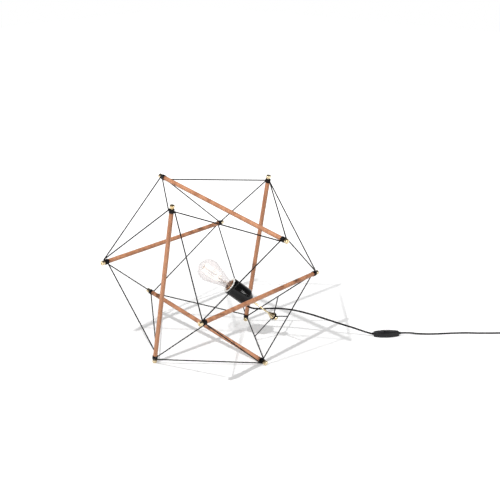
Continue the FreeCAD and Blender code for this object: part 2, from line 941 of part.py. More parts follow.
def coil_edges():
    edges = [Part.LineSegment(Vector(*floor_cord_end), coil_start).toShape()]
    stops = [coil_point(i / 4) for i in range(round(4 * coil_turns) + 1)]
    end, heading = stops[-1]
    slope = plug_slope()
    heading = unit(along(Vector(heading.x, heading.y, 0), up, -math.tan(slope)))
    stops[0] = (coil_start, Vector(math.cos(coil_heading), math.sin(coil_heading), 0))
    stops[-1] = (end, heading)
    for (p0, t0), (p1, t1) in zip(stops, stops[1:]):
        edges += biarc(p0, t0, p1, t1)
    tail_end = along(end, heading, coil_tail)
    edges.append(Part.LineSegment(end, tail_end).toShape())
    return edges, tail_end, heading


def path_points(edges, step):
    points = []
    for e in edges:
        count = max(2, round(e.Length / step))
        first, last = e.FirstParameter, e.LastParameter
        points += [e.valueAt(first + (last - first) * i / count) for i in range(count)]
    return points


def self_gap(edges):
    """The least clear distance between two turns of the coil."""
    points = path_points(edges, 1.0)
    away = round(2 * coil_inner_r)
    least = min(
        (points[i] - points[j]).Length for i in range(len(points)) for j in range(i + away, len(points))
    )
    return least - cord_d


def cord_tie(edges):
    """A flat ring of strap round all the turns on one side of the coil."""
    angle = math.radians(tie_angle)
    out = Vector(math.cos(angle), math.sin(angle), 0)
    side = Vector(-math.sin(angle), math.cos(angle), 0)
    reaches = []
    for p in path_points(edges, 0.5):
        arm = p - coil_middle
        if arm.dot(out) > 0 and abs(arm.dot(side)) < tie_width / 2 + cord_d / 2:
            reaches.append(arm.dot(out))
    margin = cord_d / 2 + tie_gap
    near, far = min(reaches) - margin, max(reaches) + margin
    low, high = coil_z - margin, coil_z + coil_layer_step + margin
    t = tie_thickness
    ring = Part.makeBox(far - near + 2 * t, tie_width, high - low + 2 * t, Vector(near - t, -tie_width / 2, low - t))
    hollow = Part.makeBox(far - near, tie_width, high - low, Vector(near, -tie_width / 2, low))
    return placed(ring.cut(hollow), Placement(coil_middle, Rotation(up, tie_angle)))


def plug_placement(start, heading):
    """From the plug's own axes to the row: Z along the plug, Y across it and level."""
    across = unit(up.cross(heading))
    return Placement(start, Rotation(across.cross(heading), across, heading, "ZXY"))


def plug_body():
    low, high = plug_boot_length, plug_reach
    thick = plug_thickness / 2
    wide, nose = plug_width / 2, plug_nose_width / 2
    corners = [
        Vector(-thick, -nose, low),
        Vector(-thick, nose, low),
        Vector(-thick, wide, low + plug_length / 2),
        Vector(-thick, wide, high),
        Vector(-thick, -wide, high),
        Vector(-thick, -wide, low + plug_length / 2),
    ]
    block = Part.Face(Part.makePolygon(corners + corners[:1])).extrude(Vector(plug_thickness, 0, 0))
    rims = [e for e in block.Edges if len({round(v.X, 3) for v in e.Vertexes}) == 1 and abs(e.Vertexes[0].X) > 1]
    block = block.makeChamfer(plug_edge, rims)
    seats = [
        cylinder(pin_shank_d + 2 * screw_clearance, pin_seat, Vector(0, side * pin_spacing / 2, high - pin_seat))
        for side in (-1, 1)
    ]
    seats.append(cylinder(plug_boot_tip_d + 2 * screw_clearance, plug_boot_seat, Vector(0, 0, low)))
    return block.cut(seats)


def plug_boot():
    sleeve = cone(plug_boot_tip_d, plug_boot_d, plug_boot_length)
    return sleeve.fuse(cylinder(plug_boot_tip_d, plug_boot_seat, Vector(0, 0, plug_boot_length))).removeSplitter()


def both_pins(profile):
    side = Vector(0, pin_spacing / 2, 0)
    return Part.makeCompound([turned(profile).translated(side), turned(profile).translated(side * -1)])


def plug_pins():
    """Round pins with a thinner shank, which is sleeved where it leaves the plug."""
    tip = plug_reach + pin_length
    shank_end = plug_reach + pin_sleeve_length
    shank, radius = pin_shank_d / 2, pin_d / 2
    return both_pins([
        (0, plug_reach - pin_seat),
        (shank, plug_reach - pin_seat),
        (shank, shank_end),
        (radius, shank_end),
        (radius, tip - 1.5),
        (radius - 1, tip),
        (0, tip),
    ])


def pin_sleeves():
    bore = pin_shank_d / 2 + screw_clearance
    return both_pins([
        (bore, plug_reach),
        (pin_sleeve_d / 2, plug_reach),
        (pin_sleeve_d / 2, plug_reach + pin_sleeve_length),
        (bore, plug_reach + pin_sleeve_length),
    ])


def build():
    nodes = {}
    for name, (middle, axis) in dowels.items():
        nodes["dowel_" + name] = placed(dowel(middle, axis), cage_place)
        knobs = [knob(along(middle, axis, side * half_joint), axis * side) for side in (1, -1)]
        nodes["knobs_" + name] = placed(Part.makeCompound(knobs), cage_place)
    for side_z, level in ((1, "upper"), (-1, "lower")):
        for side_y, depth in ((-1, "front"), (1, "back")):
            for side_x, hand in ((-1, "left"), (1, "right")):
                name = "wire_frame_" + level + "_" + depth + "_" + hand
                nodes[name] = placed(wire_frame((side_x, side_y, side_z)), cage_place)

    nodes["lamp_spider"] = placed(spider(), cage_place)
    on_lamp_axis = {
        "lamp_stem": stem(),
        "stem_cone": hub_cone(),
        "hub_knob": hub_knob(),
        "socket_union": socket_union(),
        "socket_body": socket_body(),
        "socket_insert": socket_insert(),
        "socket_shell": socket_shell(),
        "socket_contact": socket_contact(),
        "cord_gland": cord_gland(),
        "bulb_button": bulb_button(),
        "bulb_cap": bulb_cap(),
        "bulb_glass": bulb_glass(),
        "bulb_mount": bulb_mount(),
        "bulb_filament": bulb_filament(),
        "bulb_leads": bulb_leads(),
        "bulb_hooks": bulb_hooks(),
    }
    for name, shape in on_lamp_axis.items():
        nodes[name] = placed(shape, lamp_in_row)

    for name, points in (("cord_to_switch", cord_to_switch()), ("cord_on_floor", cord_on_floor())):
        edges, tightest = rounded_path(points)
        nodes[name] = tube(edges)
        report_cord(name, edges, nodes[name], tightest)
    edges, end, heading = coil_edges()
    nodes["cord_coil"] = tube(edges)
    report_cord("cord_coil", edges, nodes["cord_coil"], coil_inner_r)
    print("coil self gap", round(self_gap(edges), 2), "middle", coil_middle)
    nodes["cord_tie"] = cord_tie(edges)

    nodes["switch_base"] = switch_base()
    nodes["switch_cover"] = switch_cover()
    nodes["switch_rocker"] = switch_rocker()
    nodes["rocker_pin"] = rocker_pin()
    nodes["switch_contacts"] = switch_contacts()
    nodes["switch_bushes"] = switch_bushes()
    for name, others in (
        ("cord_to_switch", ["cord_gland", "switch_bushes"]),
        ("cord_on_floor", ["switch_bushes"]),
    ):
        nodes[name] = nodes[name].cut([nodes[other] for other in others])

    place = plug_placement(end, heading)
    nodes["plug_body"] = placed(plug_body(), place)
    nodes["plug_boot"] = placed(plug_boot(), place)
    nodes["plug_pins"] = placed(plug_pins(), place)
    nodes["pin_sleeves"] = placed(pin_sleeves(), place)
    return nodes


def report_cord(name, edges, shape, tightest):
    length = sum(e.Length for e in edges)
    plain = math.pi * cord_d ** 2 / 4 * length
    print(name, "length", round(length, 1), "least radius", round(tightest, 1), end=" ")
    print("volume against plain tube", round(shape.Volume / plain, 4), "lowest", round(shape.BoundBox.ZMin, 3))


os.makedirs("parts", exist_ok=True)
whole = FreeCAD.BoundBox()
for node, shape in build().items():
    shape.exportStep("parts/" + node + ".step")
    whole.add(shape.BoundBox)
    print(node, "solids", len(shape.Solids), "valid", shape.isValid(), "volume", round(shape.Volume, 1))
print("extents", round(whole.XMin, 1), round(whole.XMax, 1), round(whole.YMin, 1), round(whole.YMax, 1),
      round(whole.ZMin, 3), round(whole.ZMax, 1))
print("tilt", round(math.degrees(rest_tilt), 3), "middle", round(cage_middle.z, 2))
print("hub", cage_place.multVec(hub), "lamp axis", lamp_in_row.Rotation.multVec(up))
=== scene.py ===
import math

import bpy
from mathutils import Matrix, Vector


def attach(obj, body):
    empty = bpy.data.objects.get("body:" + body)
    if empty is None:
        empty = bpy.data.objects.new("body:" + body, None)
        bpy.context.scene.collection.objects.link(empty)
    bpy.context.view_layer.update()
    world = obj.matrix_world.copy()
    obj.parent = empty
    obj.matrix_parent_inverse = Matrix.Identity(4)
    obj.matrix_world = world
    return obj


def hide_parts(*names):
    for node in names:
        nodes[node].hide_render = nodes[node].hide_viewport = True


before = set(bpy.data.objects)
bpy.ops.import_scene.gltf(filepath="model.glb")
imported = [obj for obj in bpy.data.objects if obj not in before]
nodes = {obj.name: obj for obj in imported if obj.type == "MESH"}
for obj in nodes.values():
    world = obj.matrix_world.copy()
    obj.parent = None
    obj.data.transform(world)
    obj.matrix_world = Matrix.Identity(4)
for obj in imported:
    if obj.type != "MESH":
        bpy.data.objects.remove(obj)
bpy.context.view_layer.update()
mm = 0.001
mergeGap = 0.000004  # metres within which doubled points become one
tiny = 0.00001  # metres by which places may differ and still count as the same
print("frame loaded:", len(nodes), "nodes")


# ---- camera, backdrop and light
view = {
    "place": (-1.7917, -1.7382, 1.1884),
    "turn": (70.197, 0.279, -48.406),  # degrees
    "lens": 68.63,
    "sensor": 36.0,
}


def addCamera():
    bpy.ops.object.camera_add(location=view["place"], rotation=[math.radians(a) for a in view["turn"]])
    camera = bpy.context.object
    camera.data.lens = view["lens"]
    camera.data.sensor_width = view["sensor"]
    camera.data.clip_start = 0.05
    bpy.context.scene.camera = camera


studio = {
    "floorSize": 14.0,
    "floorColour": (0.68, 0.68, 0.68),
    "glowNear": 0.37,  # what the camera sees of the floor besides the light that falls on it
    "glowFar": 0.95,
    "glowReach": (0.25, 1.3),  # metres from the object between which the glow grows
    "skyLight": 0.3,
    "skyTop": 0.12,  # how bright metal and glaze find the sky overhead
    "skyFade": (0.12, 0.5),  # heights of the sky between which it darkens
    "darkSide": (-0.72, -0.69, 0.1),  # where the camera stands, metal and glaze find the air dim
    "darkReach": (0.1, 0.7),
    "darkSky": 0.3,
    "keyPlace": (-1.37, -0.235, 2.2),
    "keyPower": 215.0,
    "keyRadius": 0.026,
    "fill": {
        "place": (-1.6, -2.4, 1.9),
        "power": 6.0,
        "size": (1.0, 1.0),
        "target": (0, 0, 0.2),
        "along": (1, 0, 0),
    },
    "strip": {  # the long light that the holder's glaze mirrors
        "place": (0.2, -1.9, 0.655),
        "power": 7.0,
        "size": (0.8, 0.2),
        "target": (0.05, -0.064, 0.175),
        "along": (0.86, 0.34, 0.41),
    },
}


def newMaterial(name):
    material = bpy.data.materials.new(name)
    material.use_nodes = True
    tree = material.node_tree
    tree.nodes.clear()
    output = tree.nodes.new("ShaderNodeOutputMaterial")
    return material, tree, output


def addNode(tree, kind, **values):
    node = tree.nodes.new(kind)
    for key, value in values.items():
        setattr(node, key, value)
    return node


def calculate(tree, operation, *values):
    # a math node fed by links or by plain numbers
    node = addNode(tree, "ShaderNodeMath", operation=operation)
    for socket, value in zip(node.inputs, values):
        if isinstance(value, (int, float)):
            socket.default_value = value
        else:
            tree.links.new(value, socket)
    return node.outputs[0]


def seenDirectly(tree):
    # 1 for rays that the camera, a glossy or a clear surface sends out, 0 for the light of the studio
    rays = addNode(tree, "ShaderNodeLightPath")
    first = calculate(tree, "MAXIMUM", rays.outputs["Is Camera Ray"], rays.outputs["Is Glossy Ray"])
    return calculate(tree, "MAXIMUM", first, rays.outputs["Is Transmission Ray"])


def between(tree, value, low, high, start, end):
    node = addNode(tree, "ShaderNodeMapRange")
    for socket, number in zip(("From Min", "From Max", "To Min", "To Max"), (low, high, start, end)):
        node.inputs[socket].default_value = number
    tree.links.new(value, node.inputs["Value"])
    return node.outputs["Result"]


def addPanel(place, power, size, target, along):
    # a flat light that faces its target, with its length turned along one direction
    bpy.ops.object.light_add(type="AREA", location=place)
    panel = bpy.context.object
    panel.data.shape = "RECTANGLE"
    panel.data.energy = power
    panel.data.size, panel.data.size_y = size
    back = (Vector(place) - Vector(target)).normalized()
    side = back.cross(Vector(along)).normalized()
    panel.rotation_euler = Matrix((side.cross(back), side, back)).transposed().to_euler()


def addStudio():
    bpy.ops.mesh.primitive_plane_add(size=studio["floorSize"], location=(0, 0, 0))
    floor = bpy.context.object
    floor.name = "studioFloor"
    material, tree, output = newMaterial("studioWhite")
    diffuse = addNode(tree, "ShaderNodeBsdfDiffuse")
    diffuse.inputs["Color"].default_value = (*studio["floorColour"], 1)
    place = addNode(tree, "ShaderNodeTexCoord")
    away = addNode(tree, "ShaderNodeVectorMath", operation="LENGTH")
    tree.links.new(place.outputs["Object"], away.inputs[0])
    glow = addNode(tree, "ShaderNodeEmission")
    near, far = studio["glowNear"], studio["glowFar"]
    strength = between(tree, away.outputs["Value"], *studio["glowReach"], near, far)
    tree.links.new(calculate(tree, "MULTIPLY", strength, seenDirectly(tree)), glow.inputs["Strength"])
    add = addNode(tree, "ShaderNodeAddShader")
    tree.links.new(diffuse.outputs[0], add.inputs[0])
    tree.links.new(glow.outputs[0], add.inputs[1])
    tree.links.new(add.outputs[0], output.inputs["Surface"])
    floor.data.materials.append(material)

    world = bpy.data.worlds.new("studioAir")
    bpy.context.scene.world = world
    world.use_nodes = True
    tree = world.node_tree
    tree.nodes.clear()
    output = addNode(tree, "ShaderNodeOutputWorld")
    light = addNode(tree, "ShaderNodeBackground")
    light.inputs["Strength"].default_value = studio["skyLight"]
    seen = addNode(tree, "ShaderNodeBackground")
    direction = addNode(tree, "ShaderNodeTexCoord")
    axes = addNode(tree, "ShaderNodeSeparateXYZ")
    tree.links.new(direction.outputs["Generated"], axes.inputs[0])
    side = addNode(tree, "ShaderNodeVectorMath", operation="DOT_PRODUCT")
    tree.links.new(direction.outputs["Generated"], side.inputs[0])
    side.inputs[1].default_value = studio["darkSide"]
    above = between(tree, axes.outputs["Z"], *studio["skyFade"], 1.0, studio["skyTop"])
    beside = between(tree, side.outputs["Value"], *studio["darkReach"], 1.0, studio["darkSky"])
    rays = addNode(tree, "ShaderNodeLightPath")
    mirrored = calculate(tree, "MULTIPLY", above, beside)
    strength = calculate(tree, "MAXIMUM", mirrored, rays.outputs["Is Camera Ray"])
    tree.links.new(strength, seen.inputs["Strength"])
    choose = addNode(tree, "ShaderNodeMixShader")
    tree.links.new(seenDirectly(tree), choose.inputs[0])
    tree.links.new(light.outputs[0], choose.inputs[1])
    tree.links.new(seen.outputs[0], choose.inputs[2])
    tree.links.new(choose.outputs[0], output.inputs["Surface"])
    for background in (light, seen):
        background.inputs["Color"].default_value = (1, 1, 1, 1)

    bpy.ops.object.light_add(type="POINT", location=studio["keyPlace"])
    key = bpy.context.object
    key.data.energy = studio["keyPower"]
    key.data.shadow_soft_size = studio["keyRadius"]
    addPanel(**studio["fill"])
    addPanel(**studio["strip"])
    bpy.context.scene.view_settings.view_transform = "Standard"


addCamera()
addStudio()
print("camera and studio ready")


# ---- helpers shared by the pieces
def clearSelection():
    if bpy.context.object and bpy.context.object.mode != "OBJECT":
        bpy.ops.object.mode_set(mode="OBJECT")
    bpy.ops.object.select_all(action="DESELECT")


def pick(piece):
    clearSelection()
    piece.select_set(True)
    bpy.context.view_layer.objects.active = piece


def settle(piece, place):
    # moves a piece into the row's frame and leaves its object at the origin
    pick(piece)
    piece.matrix_world = place
    bpy.ops.object.transform_apply(location=True, rotation=True, scale=True)
    return piece


def applyAll(piece):
    pick(piece)
    for modifier in list(piece.modifiers):
        bpy.ops.object.modifier_apply(modifier=modifier.name)


def edit(piece, kind="VERT", choice="SELECT"):
    pick(piece)
    bpy.ops.object.mode_set(mode="EDIT")
    bpy.ops.mesh.select_mode(type=kind)
    bpy.ops.mesh.select_all(action=choice)


def leaveEdit():
    bpy.ops.object.mode_set(mode="OBJECT")


def cleanNormals(piece):
    edit(piece)
    bpy.ops.mesh.remove_doubles(threshold=mergeGap)
    bpy.ops.mesh.select_all(action="SELECT")
    bpy.ops.mesh.normals_make_consistent(inside=False)
    leaveEdit()


def chooseVerts(piece, wanted):
    edit(piece, "VERT", "DESELECT")
    leaveEdit()
    for vertex in piece.data.vertices:
        vertex.select = wanted(vertex.co)
    bpy.ops.object.mode_set(mode="EDIT")


def chooseEdges(piece, wanted):
    edit(piece, "EDGE", "DESELECT")
    leaveEdit()
    corners = piece.data.vertices
    for edge in piece.data.edges:
        edge.select = wanted(*(corners[i].co for i in edge.vertices))
    bpy.ops.object.mode_set(mode="EDIT")


def smoothen(piece, angle=32):
    pick(piece)
    bpy.ops.object.shade_smooth_by_angle(angle=math.radians(angle))
    return piece


def roundEdges(piece, width, steps=3, angle=28):
    rounding = piece.modifiers.new("rounding", "BEVEL")
    rounding.width = width * mm
    rounding.segments = steps
    rounding.limit_method = "ANGLE"
    rounding.angle_limit = math.radians(angle)
    applyAll(piece)
    return smoothen(piece)


def polyLine(name, points):
    # one vertex drawn along by extruding, point after point
    clearSelection()
    bpy.ops.mesh.primitive_plane_add(size=0.001, location=(0, 0, 0))
    piece = bpy.context.object
    piece.name = name
    edit(piece)
    bpy.ops.mesh.merge(type="CENTER")
    bpy.ops.transform.translate(value=points[0])
    for a, b in zip(points, points[1:]):
        step = [q - p for p, q in zip(a, b)]
        bpy.ops.mesh.extrude_region_move(TRANSFORM_OT_translate={"value": step})
    leaveEdit()
    return piece


def turnedPiece(name, outline, steps=64, edge=0.0, edgeSteps=3, rise=0.0, turns=1):
    # a lathe profile of (radius, height) in millimetres, turned about Z
    piece = polyLine(name, [(r * mm, 0, z * mm) for r, z in outline])
    lathe = piece.modifiers.new("lathe", "SCREW")
    lathe.steps = steps
    lathe.render_steps = steps
    lathe.angle = math.radians(360)
    lathe.screw_offset = rise * mm
    lathe.iterations = turns
    lathe.use_merge_vertices = True
    lathe.merge_threshold = mergeGap
    applyAll(piece)
    cleanNormals(piece)
    if edge:
        roundEdges(piece, edge, edgeSteps, 20)
    return smoothen(piece)


def raisedOutline(name, outline, reach):
    # a closed outline in millimetres, filled and drawn out along one vector
    points = [tuple(value * mm for value in point) for point in outline]
    piece = polyLine(name, points + points[:1])
    edit(piece)
    bpy.ops.mesh.remove_doubles(threshold=mergeGap)
    bpy.ops.mesh.select_all(action="SELECT")
    bpy.ops.mesh.edge_face_add()
    move = [value * mm for value in reach]
    bpy.ops.mesh.extrude_region_move(TRANSFORM_OT_translate={"value": move})
    bpy.ops.mesh.select_all(action="SELECT")
    bpy.ops.mesh.normals_make_consistent(inside=False)
    leaveEdit()
    return piece


def softBox(name, low, high, edge):
    # a block between two corners, with rounded edges if it has any
    clearSelection()
    middle = [(a + b) / 2 * mm for a, b in zip(low, high)]
    bpy.ops.mesh.primitive_cube_add(size=1, location=middle)
    piece = bpy.context.object
    piece.name = name
    piece.scale = [(b - a) * mm for a, b in zip(low, high)]
    bpy.ops.object.transform_apply(location=True, rotation=True, scale=True)
    return roundEdges(piece, edge) if edge else piece


def carve(piece, tool):
    hole = piece.modifiers.new("hole", "BOOLEAN")
    hole.operation = "DIFFERENCE"
    hole.solver = "EXACT"
    hole.object = tool
    applyAll(piece)
    bpy.data.objects.remove(tool, do_unlink=True)


def copyOf(piece, name):
    # a copy with its own mesh
    twin = piece.copy()
    twin.data = piece.data.copy()
    twin.name = name
    bpy.context.scene.collection.objects.link(twin)
    return twin


def joined(name, *parts):
    clearSelection()
    for part in parts:
        part.select_set(True)
    bpy.context.view_layer.objects.active = parts[0]
    bpy.ops.object.join()
    parts[0].name = name
    return parts[0]


def arcPoints(middle, radius, start, end, count):
    # points of a circle in a profile, angles in radians from the radial direction
    turns = [start + (end - start) * i / count for i in range(count + 1)]
    return [(middle[0] + radius * math.cos(a), middle[1] + radius * math.sin(a)) for a in turns]


def threadRidge(name, root, crest, pitch, turns, low):
    # one helical ridge with a rounded back; crest is less than root where the thread is inside a shell
    wave = [(0, 0), (0.35, 0.18), (0.8, 0.34), (1, 0.5), (0.8, 0.66), (0.35, 0.82), (0, 1)]
    wave += [(-0.25, 0.5), (0, 0)]
    width = pitch * 0.96  # a little less than the pitch, so that the turns stay apart
    outline = [(root + (crest - root) * a, low + width * b) for a, b in wave]
    piece = turnedPiece(name, outline, 64, rise=pitch, turns=turns)
    edit(piece)
    bpy.ops.mesh.fill_holes(sides=0)
    bpy.ops.mesh.select_all(action="SELECT")
    bpy.ops.mesh.normals_make_consistent(inside=False)
    leaveEdit()
    return smoothen(piece, 50)


def tubePiece(name, lines, diameter, resolution, roundness):
    # round tubes along soft lines, all in metres
    curve = bpy.data.curves.new(name, "CURVE")
    curve.dimensions = "3D"
    for line in lines:
        spline = curve.splines.new("NURBS")
        spline.points.add(len(line) - 1)
        for point, place in zip(spline.points, line):
            point.co = (*place, 1)
        spline.order_u = 3
        spline.use_endpoint_u = True
    curve.resolution_u = resolution
    curve.bevel_depth = diameter / 2
    curve.bevel_resolution = roundness
    curve.use_fill_caps = True
    piece = bpy.data.objects.new(name, curve)
    bpy.context.scene.collection.objects.link(piece)
    return piece


def wirePiece(name, lines, diameter, resolution=8):
    # wires as a mesh, from lines in millimetres
    lines = [[tuple(value * mm for value in place) for place in line] for line in lines]
    piece = tubePiece(name, lines, diameter * mm, resolution, 3)
    pick(piece)
    bpy.ops.object.convert(target="MESH")
    cleanNormals(piece)
    return smoothen(piece, 60)


def dress(piece, material, body="cage"):
    piece.data.materials.clear()
    piece.data.materials.append(material)
    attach(piece, body)
    return piece


def standIn(piece, place, node, material, body="cage"):
    # puts a finished piece in its place, for the CAD node that it is a better likeness of
    dress(settle(piece, place), material, body)
    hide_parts(node)
    return piece


def paintNode(name, material):
    node = nodes[name]
    if not node.data.materials:
        node.data.materials.append(material)
    for i in range(len(node.data.materials)):
        node.data.materials[i] = material


def spotAt(place, axis):
    # a place in millimetres, with Z turned to an axis
    turn = Vector(axis).to_track_quat("Z", "Y").to_matrix().to_4x4()
    return Matrix.Translation(Vector(place) * mm) @ turn


# ---- where the parts stand: the cage, the lamp, the switch and the plug have their own axes
cage = {
    "tilt": 11.056,  # degrees about X
    "middle": 237.92,
    "halfSpacing": 189.0,
    "halfJoint": 224.8,  # from the middle of a dowel to the seam between its two discs
}
lamp = {
    "hub": (137.9597, -108.4787, 75.4291),
    "axis": (-0.6013419, 0.4728396, 0.6440580),
}
switchSpot = {"middle": (375.25, -341.75), "heading": (0.7004, -0.7137)}

leanTurn = Matrix.Rotation(math.radians(cage["tilt"]), 4, "X")
cagePlace = Matrix.Translation((0, 0, cage["middle"] * mm)) @ leanTurn


def axesPlace(origin, across, side, ahead):
    return Matrix.Translation(origin) @ Matrix((across, side, ahead)).transposed().to_4x4()


lampAxis = Vector(lamp["axis"]).normalized()
lowestSide = (lampAxis * lampAxis.z - Vector((0, 0, 1))).normalized()
lampPlace = axesPlace(Vector(lamp["hub"]) * mm, lowestSide, lampAxis.cross(lowestSide), lampAxis)
switchTurn = math.atan2(switchSpot["heading"][1], switchSpot["heading"][0])
switchMiddle = [value * mm for value in switchSpot["middle"]]
switchPlace = Matrix.Translation((*switchMiddle, 0)) @ Matrix.Rotation(switchTurn, 4, "Z")

gland = {  # the rubber sleeve that leaves the holder's taper
    "turn": -62.0,
    "radius": 17.5,
    "height": 96.9,
    "slope": (22.0, -11.0),
    "length": 20.0,
}
glandTurn = Matrix.Rotation(math.radians(gland["turn"]), 4, "Z")
glandOut = glandTurn @ Vector((gland["slope"][0], 0, gland["slope"][1])).normalized()
glandBase = glandTurn @ Vector((gland["radius"], 0, gland["height"]))
glandTip = lampPlace @ ((glandBase + glandOut * gland["length"]) * mm)


# ---- cords, in metres as they run from the holder to the plug
cordRoute = {
    "diameter": 0.005,
    "toSwitch": [
        tuple(glandTip),
        (0.1060, -0.0255, 0.1082),
        (0.1221, -0.0230, 0.0866),
        (0.1399, -0.0309, 0.0770),
        (0.1557, -0.0503, 0.0765),
        (0.1600, -0.0660, 0.0805),
        (0.1740, -0.0850, 0.0823),
        (0.1870, -0.1090, 0.0833),
        (0.2040, -0.1370, 0.0805),
        (0.2220, -0.1640, 0.0737),
        (0.2420, -0.1890, 0.0640),
        (0.2620, -0.2135, 0.0530),
        (0.2790, -0.2340, 0.0440),
        (0.2960, -0.2540, 0.0350),
        (0.3120, -0.2700, 0.0270),
        (0.3250, -0.2840, 0.0195),
        (0.3350, -0.2970, 0.0140),
        (0.3448, -0.3107, 0.0095),
    ],
    "onFloor": [
        (0.4057, -0.3728, 0.0095),
        (0.4240, -0.3910, 0.0094),
        (0.4400, -0.4045, 0.0046),
        (0.4620, -0.4270, 0.0027),
        (0.4840, -0.4505, 0.0026),
        (0.5130, -0.4760, 0.0026),
        (0.5450, -0.5090, 0.0026),
        (0.5710, -0.5430, 0.0026),
        (0.6020, -0.5770, 0.0026),
        (0.6280, -0.6060, 0.0030),
        (0.6560, -0.6340, 0.0038),
    ],
    "coilTurns": 5.0,
    "coilMeanDiameter": 0.055,
    "coilPitch": 0.0059,
    "coilLayerStep": 0.0057,
    "coilHeight": 0.0038,
    "coilTail": 0.022,
    "pointsPerTurn": 16,
    "tailSlope": 1.884,  # degrees that the end of the coil falls towards the plug
    "resolution": 12,
    "roundness": 5,
}


def coilPoints():
    c = cordRoute
    a, b = Vector(c["onFloor"][-2]), Vector(c["onFloor"][-1])
    heading = math.atan2(b.y - a.y, b.x - a.x)
    outer = c["coilMeanDiameter"] / 2 + c["coilPitch"] * c["coilTurns"] / 4
    inner = outer - c["coilPitch"] * c["coilTurns"] / 2
    lead = math.atan(c["coilPitch"] / (2 * math.pi * outer))
    startAngle = heading + math.pi / 2 + lead
    start = b + Vector((math.cos(heading), math.sin(heading), 0)) * c["diameter"]
    middle = start - Vector((math.cos(startAngle), math.sin(startAngle), 0)) * outer
    points = []
    count = round(c["coilTurns"] * c["pointsPerTurn"])
    for i in range(count + 1):
        turn = i / c["pointsPerTurn"]
        half = c["coilTurns"] / 2
        angle = startAngle - 2 * math.pi * turn
        radius = inner + c["coilPitch"] * abs(turn - half)
        climb = min(max((turn - half) * 2 + 0.5, 0), 1)
        height = c["coilHeight"] + c["coilLayerStep"] * climb * climb * (3 - 2 * climb)
        x, y = middle.x + radius * math.cos(angle), middle.y + radius * math.sin(angle)
        points.append((x, y, height))
    ahead = Vector((math.sin(angle), -math.cos(angle), 0))
    growth = Vector((math.cos(angle), math.sin(angle), 0)) * c["coilPitch"] / (2 * math.pi)
    ahead = (ahead * radius + growth).normalized()
    slope = math.radians(c["tailSlope"])
    ahead = Vector((ahead.x * math.cos(slope), ahead.y * math.cos(slope), -math.sin(slope)))
    end = Vector(points[-1]) + ahead * c["coilTail"]
    points.append(tuple(Vector(points[-1]) + ahead * c["coilTail"] * 0.5))
    points.append(tuple(end))
    return points, end, ahead, Vector((middle.x, middle.y, 0))


windings, plugStart, plugHeading, coilMiddle = coilPoints()
cordMesh = (cordRoute["diameter"], cordRoute["resolution"], cordRoute["roundness"])
cordToSwitch = tubePiece("cordToSwitch", [cordRoute["toSwitch"]], *cordMesh)
cordToPlug = tubePiece("cordToPlug", [cordRoute["onFloor"] + windings[1:]], *cordMesh)
plugAcross = Vector((0, 0, 1)).cross(plugHeading).normalized()
plugPlace = axesPlace(plugStart, plugAcross.cross(plugHeading), plugAcross, plugHeading)
print("cords laid, plug at", [round(value, 5) for value in plugStart])


# ---- materials
def objectPlace(tree, place=(0, 0, 0), turn=(0, 0, 0), scale=(1, 1, 1)):
    coordinate = addNode(tree, "ShaderNodeTexCoord")
    mapping = addNode(tree, "ShaderNodeMapping")
    mapping.inputs["Location"].default_value = place
    mapping.inputs["Rotation"].default_value = turn
    mapping.inputs["Scale"].default_value = scale
    tree.links.new(coordinate.outputs["Object"], mapping.inputs["Vector"])
    return mapping.outputs["Vector"]


def noise(tree, vector, scale, detail, roughness):
    node = addNode(tree, "ShaderNodeTexNoise")
    node.inputs["Scale"].default_value = scale
    node.inputs["Detail"].default_value = detail
    node.inputs["Roughness"].default_value = roughness
    tree.links.new(vector, node.inputs["Vector"])
    return node.outputs["Fac"]


def ramp(tree, factor, stops):
    node = addNode(tree, "ShaderNodeValToRGB")
    elements = node.color_ramp.elements
    while len(elements) < len(stops):
        elements.new(0.5)
    for element, (position, colour) in zip(elements, stops):
        element.position = position
        element.color = (*colour, 1)
    tree.links.new(factor, node.inputs["Fac"])
    return node.outputs["Color"]


def blended(tree, kind, factor, first, second):
    node = addNode(tree, "ShaderNodeMix", data_type="RGBA", blend_type=kind)
    for socket, value in ((0, factor), (6, first), (7, second)):
        if isinstance(value, (int, float)):
            node.inputs[socket].default_value = value
        elif isinstance(value, tuple):
            node.inputs[socket].default_value = (*value, 1)
        else:
            tree.links.new(value, node.inputs[socket])
    return node.outputs[2]


def bump(tree, height, depth, strength):
    node = addNode(tree, "ShaderNodeBump")
    node.inputs["Strength"].default_value = strength
    node.inputs["Distance"].default_value = depth
    tree.links.new(height, node.inputs["Height"])
    return node.outputs["Normal"]


def surface(tree, output, colour, roughness=None, normal=None, **fixed):
    shader = addNode(tree, "ShaderNodeBsdfPrincipled")
    for key, value in fixed.items():
        shader.inputs[key.replace("_", " ")].default_value = value
    for socket, link in (("Base Color", colour), ("Roughness", roughness), ("Normal", normal)):
        if link is not None:  # what isn't linked keeps its fixed value
            tree.links.new(link, shader.inputs[socket])
    tree.links.new(shader.outputs[0], output.inputs["Surface"])
    return shader


woodFinish = {
    "light": (0.55, 0.252, 0.130),
    "middle": (0.46, 0.200, 0.099),
    "dark": (0.36, 0.145, 0.068),
    "pore": (0.25, 0.105, 0.052),
    "ringScale": 46.0,
    "fibreScale": 520.0,
    "poreScale": 1100.0,
    "stretch": 0.03,  # how much longer than wide the grain is drawn
    "roughness": (0.44, 0.58),
    "firstShift": 0.37,  # metres into the grain at the first dowel, and from each dowel to the next
    "nextShift": 0.61,
}


